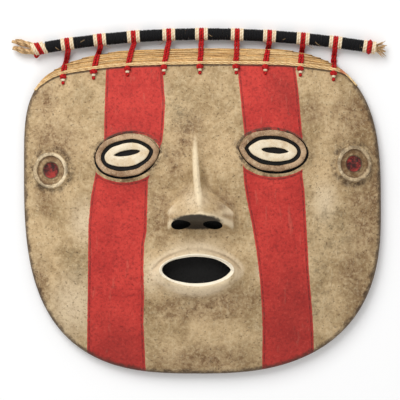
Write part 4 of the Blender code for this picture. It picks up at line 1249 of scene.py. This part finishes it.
def make_core():
    """The fibre bundle inside the wraps, with an eyed loop at one end and a frayed tuft at the other."""
    chance = random.Random(12)
    threads = Threads()
    xs = np.linspace(CORD_LEFT - CORE_OVERRUN, CORD_RIGHT + CORE_OVERRUN, CORE_STEPS)
    threads.lay(round_cord(xs, xs * 0, 0), CORE_RADIUS * 0.96, sides=14, lobes=5, depth=0.05, pitch=0.05)
    loop_fibres(threads, chance)
    tuft_fibres(threads, chance)
    stray_fibres(threads, chance)
    dress(threads.piece("fibre_core"), tow(), "plant_fibre", "cord_core")


def tie_route(cord_x, knot_x, ground):
    """The middle line of a tie from its ring on the cord to its knot, and the place of its knot."""
    root = round_cord(np.array(cord_x), math.pi, RED_REACH - RED_YARN)
    line = float(BAND.edges(knot_x))
    end_y = line - TOUCH_GAP
    top_edge = line + STRAND_COUNT * STRAND_PITCH * BAND.slant(knot_x)
    route = [root + step for step in TIE_LEAVING]
    for share in (0.0, 0.12, 0.3, 0.5, 0.7, 0.88):
        y = top_edge + (end_y - top_edge) * share
        x = knot_x + (root[0] - knot_x) * (y - end_y) / (root[1] - end_y)
        route.append(np.array((x, y, ground.top(x, y) + TIE_YARN * 1.05)))
    under = (ground.top(knot_x, line) + ground.top(knot_x, end_y - TIE_BELOW_BAND)) / 2 + TIE_END_LIFT
    route.append(np.array((knot_x, end_y - TIE_END_DROP, under)))
    knot = np.array((knot_x, end_y, ground.top(knot_x, end_y - KNOT_LENGTH) + KNOT_LIFT))
    return spline(route, 6), knot


def lay_strap(red, route, phase):
    """Two twisted yarns side by side, closer together at the cord and under the band's cord."""
    side = frames_along(route)[0]
    share = np.linspace(0, 1, len(route))
    near_ends = 0.35 * smooth_step(share, 0.85, 1.0) + 0.25 * smooth_step(-share, -0.12, 0.0)
    for branch in (-1, 1):
        sway = 1 + 0.15 * np.sin(share * 9 + branch + phase)
        path = route + side * (branch * TIE_YARN * (0.95 - near_ends) * sway)[:, None]
        red.lay(path, TIE_YARN, sides=8, lobes=2, depth=0.14, pitch=0.0046)


def lay_knot(red, knot, chance):
    """Yarn wound across under the band's edge, over a filled middle."""
    width = KNOT_WIDTH * chance.uniform(0.92, 1.08)
    turns = np.linspace(0, 1, 44)
    angle = turns * 2 * math.pi * KNOT_TURNS + chance.uniform(0, 3)
    path = np.stack(
        [
            knot[0] + (width / 2 - KNOT_YARN) * np.cos(angle),
            knot[1] - KNOT_YARN - turns * (KNOT_LENGTH - 2 * KNOT_YARN),
            knot[2] + KNOT_DEPTH * np.sin(angle),
        ],
        axis=1,
    )
    red.lay(path, KNOT_YARN, sides=8, lobes=2, depth=0.12, pitch=0.004)
    filling = np.linspace(-KNOT_FILLING_START, KNOT_LENGTH, len(KNOT_FILLING))
    middle = np.stack([filling * 0 + knot[0], knot[1] - filling, filling * 0 + knot[2]], axis=1)
    red.lay(middle, np.array(KNOT_FILLING), sides=8, depth=0.0)


def make_tie(number, cord_x, knot_x, ground):
    """A red yarn wound on the cord, doubled over the band, tied off under it and beaded."""
    chance = random.Random(number)
    red = Threads()
    red.wind(red_ring(cord_x), RED_YARN)
    route, knot = tie_route(cord_x, knot_x, ground)
    share = np.linspace(-1, 1, 12)
    lift = FOOT_LIFT - FOOT_DROP * share**2
    bend = np.stack([share * RED_LENGTH * 0.42, FOOT_BEND * share**2, lift], axis=1)
    red.lay(route[1] + bend, RED_YARN * 0.8, sides=8, lobes=2, depth=0.12)
    lay_strap(red, route, number)
    lay_knot(red, knot, chance)
    bead_y = knot[1] - KNOT_LENGTH - BEAD_LENGTH / 2 + BEAD_OVERLAP
    tip = np.linspace(0, 1, 11)
    tip_y = bead_y - tip * (BEAD_LENGTH / 2 + TIP_LENGTH)
    swell = TIP_NECK + (TIP_RADIUS - TIP_NECK) * np.sin(np.clip(tip * 1.55 - 0.45, 0, 1) * math.pi) ** 0.5
    tip_path = np.stack([tip * 0 + knot[0], tip_y, tip * 0 + knot[2]], axis=1)
    red.lay(tip_path, swell, sides=10, lobes=2, depth=0.1, pitch=0.004)
    tie = red.piece(f"red_tie_yarn_{number}")
    ground.add(tie)
    dress(tie, yarn("red"), "red_yarn", f"red_tie_{number}")
    make_bead(number, Vector((knot[0], bead_y, knot[2])))


def make_bead(number, place):
    """A small turned bead with its hole along the tie."""
    ring = {"major_segments": 20, "minor_segments": 10}
    sizes = {"major_radius": BEAD_RADIUS * 0.66, "minor_radius": BEAD_RADIUS * 0.36}
    bead = drawn(f"small_bead_{number}", bpy.ops.mesh.primitive_torus_add, **ring, **sizes)
    stretch = Matrix.Diagonal((1, 1, BEAD_LENGTH / (BEAD_RADIUS * 0.72), 1))
    bead.data.transform(Matrix.Translation(place) @ Matrix.Rotation(math.radians(90), 4, "X") @ stretch)
    bpy.ops.object.shade_smooth()
    dress(bead, cream_shell(), "cream_yarn", f"tie_bead_{number}")


def dress(piece, paint, slot, *nodes):
    """Moves a piece to its place in the frame, with its material, its body and the nodes it stands for."""
    piece.data.transform(Matrix.Translation(FACE_MIDDLE))
    if not piece.data.materials:
        piece.data.materials.append(paint)
    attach(piece, "root")
    if nodes:
        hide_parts(*nodes)


def rgb(red, green, blue):
    """A colour given as it looks on a screen, from 0 to 255, in the values that light needs."""
    levels = (level / 255 for level in (red, green, blue))
    return (*(((v + 0.055) / 1.055) ** 2.4 if v > 10 / 255 else v / 12.92 for v in levels), 1)


class Nodes:
    """Short ways to add nodes to a material or a group. Inputs may be sockets or plain values."""

    def __init__(self, tree):
        self.tree = tree

    def node(self, kind, inputs=(), **settings):
        made = self.tree.nodes.new(kind)
        for key, value in settings.items():
            setattr(made, key, value)
        for key, value in dict(inputs).items():
            self.feed(made.inputs[key], value)
        return made

    def add(self, kind, inputs=(), output=0, **settings):
        return self.node(kind, inputs, **settings).outputs[output]

    def feed(self, socket, value):
        if isinstance(value, bpy.types.NodeSocket):
            self.tree.links.new(value, socket)
        else:
            socket.default_value = value

    def group(self, tree, **inputs):
        """The outputs of a node group."""
        return self.node("ShaderNodeGroup", inputs, node_tree=tree).outputs

    def math(self, operation, *values):
        return self.add("ShaderNodeMath", dict(enumerate(values)), operation=operation)

    def times(self, *values):
        product = values[0]
        for value in values[1:]:
            product = self.math("MULTIPLY", product, value)
        return product

    def plus(self, first, second):
        return self.math("ADD", first, second)

    def between(self, value, low, high):
        """0 below low and 1 above high, smoothly. A low above the high one turns it round."""
        inputs = {"Value": value, "From Min": low, "From Max": high}
        return self.add("ShaderNodeMapRange", inputs, interpolation_type="SMOOTHSTEP")

    def line(self, value, low, high, soft):
        """1 from low to high, easing to 0 outside them."""
        return self.times(self.between(value, low - soft, low), self.between(value, high + soft, high))

    def mix(self, share, first, second):
        inputs = {"Factor": share, 6: first, 7: second}
        return self.add("ShaderNodeMix", inputs, output=2, data_type="RGBA")

    def tinted(self, colour, *tints):
        """A colour with others laid over it in turn, each where its mask is and at its strength."""
        for where, strength, tint in tints:
            colour = self.mix(self.times(where, strength), colour, rgb(*tint))
        return colour

    def swing(self, value, reach):
        """A value from 0 to 1 as a push either way, by up to half of this reach."""
        return self.times(self.math("SUBTRACT", value, 0.5), reach)

    def noise(self, scale, detail=3.0, vector=None, rough=0.55, warp=0.0):
        inputs = {"Vector": vector or self.place(), "Scale": scale, "Detail": detail, "Roughness": rough}
        inputs["Distortion"] = warp
        return self.add("ShaderNodeTexNoise", inputs)

    def place(self):
        return self.add("ShaderNodeTexCoord", output="Object")

    def stretch(self, x, y, z, vector=None, turn=0.0):
        inputs = {"Vector": vector or self.place(), "Scale": (x, y, z), "Rotation": (0, 0, turn)}
        return self.add("ShaderNodeMapping", inputs)

    def mask(self, name):
        return self.add("ShaderNodeAttribute", output="Fac", attribute_name=name)

    def bump(self, height, distance, strength):
        return self.add("ShaderNodeBump", {"Height": height, "Distance": distance, "Strength": strength})

    def coat(self, shader, colour, relief, roughness, shine=None):
        """Gives a shader its colour, relief and roughness, and its shine where that isn't the usual one."""
        self.feed(shader.inputs["Base Color"], colour)
        self.feed(shader.inputs["Normal"], relief)
        self.feed(shader.inputs["Roughness"], roughness)
        if shine is not None:
            self.feed(shader.inputs["Specular IOR Level"], shine)


def new_material(name):
    """A material with its nodes and its shader, or None in their place if it is already made."""
    found = bpy.data.materials.get(name)
    if found:
        return found, None, None
    made = bpy.data.materials.new(name)
    made.use_nodes = True
    return made, Nodes(made.node_tree), made.node_tree.nodes["Principled BSDF"]


SOCKET_KINDS = {"value": "NodeSocketFloat", "colour": "NodeSocketColor"}


def node_group(name, build, inputs, outputs):
    """A shader node group with these sockets, made once. build returns a value for each output."""
    found = bpy.data.node_groups.get(name)
    if found:
        return found
    tree = bpy.data.node_groups.new(name, "ShaderNodeTree")
    for label, kind in inputs.items():
        tree.interface.new_socket(label, in_out="INPUT", socket_type=SOCKET_KINDS[kind])
    for label, kind in outputs.items():
        tree.interface.new_socket(label, in_out="OUTPUT", socket_type=SOCKET_KINDS[kind])
    nodes = Nodes(tree)
    given = tree.nodes.new("NodeGroupInput").outputs
    results = tree.nodes.new("NodeGroupOutput").inputs
    for label, value in zip(outputs, build(nodes, given)):
        nodes.feed(results[label], value)
    return tree


def build_age_marks(nodes, given):
    scaling = {0: nodes.place(), "Scale": given["Fineness"]}
    place = nodes.add("ShaderNodeVectorMath", scaling, operation="SCALE")
    cloud = nodes.noise(34, 8, place, rough=0.7, warp=0.4)
    fine = nodes.noise(430, 4, place, rough=0.7)
    stain = nodes.between(nodes.noise(62, 6, place, rough=0.72, warp=0.3), 0.52, 0.7)
    mottle = nodes.noise(125, 7, place, rough=0.8, warp=0.3)
    specks = nodes.between(nodes.noise(560, 2, place), 0.64, 0.7)
    one_way = nodes.noise(210, 3, nodes.stretch(1, 0.16, 1, place, 0.5))
    other_way = nodes.noise(230, 3, nodes.stretch(1, 0.18, 1, place, -0.9))
    strokes = nodes.between(nodes.math("MAXIMUM", one_way, other_way), 0.62, 0.74)
    rough = nodes.plus(nodes.times(fine, 0.7), nodes.times(mottle, 0.8))
    relief = nodes.plus(nodes.plus(rough, nodes.times(strokes, 0.35)), nodes.times(specks, -0.5))
    return cloud, mottle, fine, stain, specks, strokes, relief


def age_marks():
    """Clouds, fine mottling, stains, specks and short strokes, as old hand-worked surfaces have."""
    kinds = ("Cloud", "Mottle", "Fine", "Stain", "Specks", "Strokes", "Relief")
    return node_group("age marks", build_age_marks, {"Fineness": "value"}, dict.fromkeys(kinds, "value"))


def build_dirt_wear_and_painted_light(nodes, given):
    dirty = nodes.mix(given["Dirt"], given["Colour"], given["Dirt Colour"])
    return (nodes.mix(given["Wear"], dirty, given["Wear Colour"]),)


def dirt_wear_and_painted_light():
    """A colour darkened where dirt lies and lightened where hands have rubbed it. On the face the darkening
    also holds painted shadow and shade, and the lightening a painted highlight.
    """
    inputs = {"Colour": "colour", "Dirt": "value", "Dirt Colour": "colour"}
    inputs |= {"Wear": "value", "Wear Colour": "colour"}
    return node_group("dirt, wear and painted light", build_dirt_wear_and_painted_light, inputs, {"Colour": "colour"})


def build_spun_fibre(nodes, given):
    where = nodes.add("ShaderNodeUVMap", uv_map="thread")
    parts = nodes.node("ShaderNodeSeparateXYZ", {0: where}).outputs
    turn = nodes.plus(nodes.math("DIVIDE", parts[0], given["Pitch"]), nodes.times(parts[1], given["Plies"]))
    # Across the plies the tone falls dark in their grooves and rises on their crowns: painted shade and
    # painted highlight
    ply = nodes.times(nodes.math("PINGPONG", turn, 0.5), 2.0)
    along = nodes.add("ShaderNodeCombineXYZ", {0: nodes.times(parts[0], 90), 1: nodes.times(parts[1], 6)})
    hair = nodes.noise(1.0, 5, along, rough=0.65)
    fuzz = nodes.noise(1000, 3)
    rough = nodes.plus(nodes.times(hair, 0.7), nodes.times(fuzz, 0.45))
    return nodes.plus(nodes.times(ply, given["Twist"]), rough), hair


def spun_fibre():
    """The lay of a thread's plies and hairs, along its own map."""
    inputs = {"Pitch": "value", "Plies": "value", "Twist": "value"}
    return node_group("spun fibre", build_spun_fibre, inputs, {"Tone": "value", "Hair": "value"})


def aged_and_lit(nodes, colour, dirt, dirt_colour, wear, wear_colour):
    sockets = {"Colour": colour, "Dirt": dirt, "Dirt Colour": dirt_colour}
    sockets |= {"Wear": wear, "Wear Colour": wear_colour}
    return nodes.group(dirt_wear_and_painted_light(), **sockets)["Colour"]


def ground_colour(nodes, marks):
    """The pale ground under the paint, with brown patches of stain and painted shade, grey-green patina and
    patches of painted light.
    """
    mottle, fine = marks["Mottle"], marks["Fine"]
    broken = nodes.between(mottle, 0.56, 0.4)
    brown = nodes.times(nodes.mask("brown"), nodes.plus(nodes.times(broken, 0.62), 0.38))
    green = nodes.times(nodes.mask("green"), nodes.plus(nodes.times(broken, 0.8), 0.15))
    return nodes.tinted(
        nodes.mix(nodes.between(marks["Cloud"], 0.34, 0.66), rgb(162, 135, 95), rgb(206, 177, 134)),
        # Patches of painted light
        (nodes.mask("pale"), 0.7, (230, 208, 174)),
        (nodes.between(mottle, 0.5, 0.66), 0.38, (224, 202, 162)),
        (nodes.between(mottle, 0.5, 0.34), 0.45, (132, 103, 67)),
        # Brown patina stains, with painted shade among them
        (brown, 0.82, (106, 72, 42)),
        (green, 0.45, (112, 106, 84)),
        (nodes.between(fine, 0.5, 0.66), 0.3, (224, 203, 164)),
        (nodes.between(fine, 0.48, 0.35), 0.32, (128, 98, 62)),
        (marks["Stain"], 0.28, (140, 106, 64)),
        (marks["Specks"], 0.5, (84, 62, 42)),
    )


def red_colour(nodes, marks):
    """Matt red paint, darker in lines just inside its edges and round the eyes."""
    fine = marks["Fine"]
    edge_line = nodes.line(nodes.mask("stripe"), 1.3, 1.9, 0.7)
    eye_line = nodes.line(nodes.mask("bare"), -1.9, -1.3, 0.7)
    lines = nodes.times(nodes.math("MAXIMUM", edge_line, eye_line), nodes.between(fine, 0.4, 0.58))
    return nodes.tinted(
        nodes.mix(nodes.between(marks["Cloud"], 0.32, 0.68), rgb(182, 44, 38), rgb(208, 62, 52)),
        # Darker red patches, with painted shade under the left eye and at the lower right
        (nodes.mask("dark red"), 0.55, (140, 34, 28)),
        (nodes.between(fine, 0.5, 0.36), 0.5, (128, 30, 27)),
        (nodes.between(fine, 0.56, 0.68), 0.3, (222, 92, 78)),
        (marks["Stain"], 0.22, (120, 32, 28)),
        (lines, 0.7, (72, 24, 22)),
    )


def ear_colour(nodes, marks, colour):
    """A red centre in a dark ring, a brown dish and a pale worn lip."""
    ear, mottle = nodes.mask("ear"), marks["Mottle"]
    reach = nodes.plus(ear, nodes.swing(mottle, 4.0))
    soiled = nodes.plus(nodes.times(nodes.between(mottle, 0.6, 0.42), 0.5), 0.2)
    kept = nodes.plus(nodes.times(nodes.between(marks["Cloud"], 0.44, 0.56), 0.55), 0.3)
    colour = nodes.tinted(
        colour,
        (nodes.line(reach, 7.0, 11.0, 1.0), soiled, (108, 76, 46)),
        (nodes.line(reach, 12.0, 14.0, 0.8), kept, (246, 224, 186)),
        (nodes.line(reach, 10.9, 11.4, 0.5), 0.4, (70, 48, 30)),
    )
    centre = nodes.mix(nodes.between(mottle, 0.42, 0.6), rgb(58, 32, 28), rgb(170, 54, 48))
    colour = nodes.mix(nodes.between(ear, 6.5, 6.1), colour, centre)
    return nodes.tinted(colour, (nodes.line(ear, 6.3, 6.8, 0.5), 0.7, (46, 32, 24)))


def face_dirt_and_shade(nodes, marks):
    """Dirt along the rim and beside the ears, a painted shadow below the band, and round the eyes a line of
    painted shade with dirt, then fainter dirt.
    """
    eye, mottle = nodes.mask("eye"), marks["Mottle"]
    rim = nodes.plus(nodes.mask("rim"), nodes.swing(mottle, 12.0))
    dirt = nodes.times(nodes.between(rim, 4.4, 0.4), 0.8)
    for more in (
        # A painted shadow just below the band's lower edge
        nodes.times(nodes.line(nodes.mask("band"), 0.0, 0.9, 1.2), 0.85),
        nodes.times(nodes.line(nodes.mask("ear"), 15.0, 16.4, 4.6), nodes.between(mottle, 0.6, 0.4), 0.75),
        # Painted shade with dirt in a broken line round each eye's rim
        nodes.times(nodes.line(eye, 0.0, 1.2, 1.6), nodes.between(mottle, 0.62, 0.4)),
        nodes.times(nodes.line(eye, 1.0, 3.0, 6.0), nodes.between(mottle, 0.56, 0.36), 0.4),
    ):
        dirt = nodes.math("MAXIMUM", dirt, more)
    return dirt


def face_wear_and_highlight(nodes, marks, painted):
    """Paler ridges away from the lips, a painted highlight that also stands for rubbed wear, and short
    strokes of wear that show less on the red.
    """
    # A painted highlight along the carving's ridges, which also stands for rubbed wear
    ridges = nodes.between(nodes.mask("crease"), -0.08, -0.5)
    rubbed = nodes.times(ridges, nodes.between(nodes.mask("lip"), 1.0, 9.0), 0.85)
    strokes = nodes.times(marks["Strokes"], nodes.math("SUBTRACT", 0.14, nodes.times(painted, 0.1)))
    return nodes.math("MAXIMUM", rubbed, strokes)


def face_paint():
    """Red stripes on the pale ground, with paler lips under a painted highlight, black paint in the mouth
    and nostrils, and painted shade round the eye sockets and under the nose.
    """
    made, nodes, shader = new_material("painted ground")
    if not nodes:
        return made
    marks = nodes.group(age_marks(), Fineness=1.0)
    lip, mottle = nodes.mask("lip"), marks["Mottle"]
    uneven_edge = nodes.plus(nodes.mask("stripe"), nodes.swing(marks["Fine"], 1.6))
    outside_ear = nodes.between(nodes.mask("ear"), 15.0, 15.6)
    bare = nodes.plus(nodes.mask("bare"), nodes.swing(mottle, 1.6))
    painted = nodes.times(nodes.between(uneven_edge, -0.3, 0.3), outside_ear, nodes.between(bare, 0.3, -0.3))
    colour = nodes.mix(painted, ground_colour(nodes, marks), red_colour(nodes, marks))
    colour = ear_colour(nodes, marks, colour)
    colour = nodes.mix(nodes.between(nodes.mask("band"), 0.4, -0.4), colour, rgb(164, 120, 70))
    # A painted highlight on the raised lips, broken by clouds
    muzzle = nodes.times(nodes.line(lip, 3.0, 8.5, 4.0), nodes.between(marks["Cloud"], 0.3, 0.55))
    colour = nodes.tinted(
        colour,
        (muzzle, 0.55, (234, 213, 180)),
        (nodes.between(nodes.mask("crease"), 0.1, 1.0), 0.55, (104, 74, 46)),
        (nodes.between(lip, 2.9, 1.9), 0.92, (255, 243, 219)),
    )
    # Dirt and painted shadow darken to deep brown; wear and a painted highlight lighten to cream
    wear = face_wear_and_highlight(nodes, marks, painted)
    colour = aged_and_lit(nodes, colour, face_dirt_and_shade(nodes, marks), rgb(58, 40, 26), wear, rgb(240, 220, 184))
    # A near-black painted shadow under the nose, over its nostrils
    nose_shadow = nodes.plus(nodes.mask("under nose"), nodes.swing(mottle, 0.6))
    colour = nodes.tinted(colour, (nodes.between(nose_shadow, 1.12, 0.86), 0.95, (24, 18, 14)))
    underside = nodes.plus(nodes.mask("height"), nodes.swing(mottle, 4.0))
    colour = nodes.mix(nodes.between(underside, 3.6, 1.6), colour, rgb(104, 77, 50))
    # Near-black where the surface is sunk: black paint in the mouth and nostrils, painted shade in the gaps
    # round the eye sockets
    colour = nodes.mix(nodes.between(nodes.mask("sunk"), 0.3, 1.0), colour, rgb(17, 15, 13))
    nodes.coat(shader, colour, nodes.bump(marks["Relief"], 0.0009, 0.85), 0.72, 0.35)
    return made


def bare_wood():
    """Brown wood with its grain up the face, for the hollow back."""
    made, nodes, shader = new_material("bare wood")
    if not nodes:
        return made
    marks = nodes.group(age_marks(), Fineness=0.8)
    grain = nodes.noise(60, 5, nodes.stretch(1, 0.12, 1), warp=0.6)
    colour = nodes.mix(nodes.between(grain, 0.3, 0.7), rgb(92, 66, 43), rgb(142, 110, 76))
    dirt = nodes.times(marks["Stain"], 0.6)
    wear = nodes.times(marks["Strokes"], 0.3)
    colour = aged_and_lit(nodes, colour, dirt, rgb(48, 34, 24), wear, rgb(176, 144, 104))
    nodes.coat(shader, colour, nodes.bump(nodes.plus(grain, marks["Relief"]), 0.0007, 0.6), 0.82)
    return made


def worn_rim():
    """Rubbed wood of the eyes' rims."""
    made, nodes, shader = new_material("worn eye rim")
    if not nodes:
        return made
    marks = nodes.group(age_marks(), Fineness=2.2)
    colour = nodes.mix(nodes.between(marks["Cloud"], 0.34, 0.66), rgb(142, 108, 76), rgb(198, 166, 130))
    dirt = nodes.math("MAXIMUM", nodes.times(marks["Stain"], 0.45), nodes.times(marks["Specks"], 0.5))
    rubbed = nodes.between(marks["Fine"], 0.56, 0.72)
    wear = nodes.math("MAXIMUM", nodes.times(marks["Strokes"], 0.5), rubbed)
    colour = aged_and_lit(nodes, colour, dirt, rgb(66, 48, 34), wear, rgb(226, 204, 168))
    nodes.coat(shader, colour, nodes.bump(marks["Relief"], 0.0006, 0.8), 0.66)
    return made


def pitch():
    """Dull black pitch round the shells."""
    made, nodes, shader = new_material("black pitch")
    if not nodes:
        return made
    lumps = nodes.noise(520, 4)
    colour = nodes.mix(lumps, rgb(8, 7, 6), rgb(26, 22, 19))
    nodes.coat(shader, colour, nodes.bump(lumps, 0.0004, 0.5), 0.7, 0.2)
    return made


def cream_shell():
    """Cream shell, for the eyes' plates and the beads."""
    made, nodes, shader = new_material("cream shell")
    if not nodes:
        return made
    marks = nodes.group(age_marks(), Fineness=2.6)
    colour = nodes.mix(nodes.between(marks["Cloud"], 0.36, 0.66), rgb(234, 219, 190), rgb(216, 192, 154))
    dirt = nodes.math("MAXIMUM", nodes.times(marks["Stain"], 0.4), nodes.times(marks["Specks"], 0.5))
    wear = nodes.times(marks["Strokes"], 0.3)
    colour = aged_and_lit(nodes, colour, dirt, rgb(158, 122, 82), wear, rgb(255, 250, 236))
    nodes.coat(shader, colour, nodes.bump(marks["Relief"], 0.0003, 0.5), 0.5)
    return made


def fibre_material(name, low, high, lay, limits, relief):
    """A matt thread between two colours: lay is its plies' pitch, their number and how much they show."""
    made, nodes, shader = new_material(name)
    if not nodes:
        return made
    twist = nodes.group(spun_fibre(), Pitch=lay[0], Plies=lay[1], Twist=lay[2])
    # Darker in the grooves between plies and lighter on their crowns, as painted shade and highlight, with
    # hairs of random tone
    colour = nodes.mix(nodes.between(twist["Tone"], *limits), rgb(*low), rgb(*high))
    if name.endswith("straw"):
        stain = nodes.group(age_marks(), Fineness=1.0)["Stain"]
        colour = nodes.tinted(colour, (stain, 0.3, (134, 88, 44)))
        flat = nodes.stretch(1, 1, 0)
        away = nodes.add("ShaderNodeVectorMath", {0: flat, 1: RED_STAIN}, output=1, operation="DISTANCE")
        colour = nodes.tinted(colour, (nodes.between(away, 0.0045, 0.0015), 0.6, (188, 52, 40)))
    nodes.coat(shader, colour, nodes.bump(twist["Tone"], relief, 0.8), 0.8, 0.25)
    return made


def straw():
    return fibre_material("straw", (146, 98, 50), (240, 196, 130), (0.02, 3.0, 0.25), (0.42, 0.92), 0.0007)


def pale_straw():
    low, high = (170, 122, 70), (250, 218, 162)
    return fibre_material("pale straw", low, high, (0.006, 2.0, 0.3), (0.38, 0.92), 0.0005)


def tow():
    """The looser fibre of the cord's core, loop and tuft."""
    return fibre_material("tow", (110, 72, 36), (240, 202, 150), (0.006, 2.0, 0.3), (0.42, 0.94), 0.0006)


YARN_COLOURS = {
    "black": ((4, 4, 5), (24, 23, 25)),
    "cream": ((198, 166, 120), (252, 236, 206)),
    "red": ((96, 5, 9), (206, 28, 28)),
}


def yarn(colour):
    low, high = YARN_COLOURS[colour]
    return fibre_material(f"{colour} yarn", low, high, (0.0026, 2.0, 0.3), (0.42, 0.95), 0.0005)


def floor_material():
    made, nodes, shader = new_material("pale floor")
    nodes.feed(shader.inputs["Base Color"], (FLOOR_TONE, FLOOR_TONE, FLOOR_TONE, 1))
    nodes.feed(shader.inputs["Roughness"], 0.9)
    return made


def make_stage():
    """A plain pale floor, soft studio light and a camera that looks straight down."""
    floor = drawn("floor", bpy.ops.mesh.primitive_plane_add, size=FLOOR_SIZE, location=(0, 0, -FLOOR_DROP))
    floor.data.materials.append(floor_material())
    world = bpy.data.worlds.new("studio")
    world.use_nodes = True
    world.node_tree.nodes["Background"].inputs["Color"].default_value = (1, 1, 1, 1)
    world.node_tree.nodes["Background"].inputs["Strength"].default_value = SKY_LIGHT
    bpy.context.scene.world = world
    for name, place, power in LIGHTS:
        light = drawn(name, bpy.ops.object.light_add, type="AREA", location=place)
        light.data.size = LIGHT_SIZE
        light.data.energy = power
        light.rotation_euler = (-Vector(place)).to_track_quat("-Z", "Y").to_euler()
    place = (PICTURE_SHIFT, PICTURE_RISE, CAMERA_HEIGHT)
    camera = drawn("camera", bpy.ops.object.camera_add, location=place, rotation=(0, 0, 0))
    camera.data.lens = camera.data.sensor_width * (CAMERA_HEIGHT - RIM_HEIGHT) / PICTURE_WIDTH
    camera.data.clip_end = CAMERA_SIGHT
    bpy.context.scene.camera = camera
    bpy.context.scene.view_settings.view_transform = "Standard"


def main():
    face = make_face()
    face_ground = Ground()
    face_ground.add(face)
    for side, eye in EYES.items():
        make_eye(side, eye)
    laid = Ground(*face_ground.trees)
    make_band(face_ground, laid)
    make_core()
    make_wraps()
    for number, (cord_x, knot_x) in enumerate(tie_places(), 1):
        make_tie(number, cord_x, knot_x, laid)
    make_band_cord(laid)
    dress(face, face_paint(), "painted_wood", "face")
    make_stage()


main()
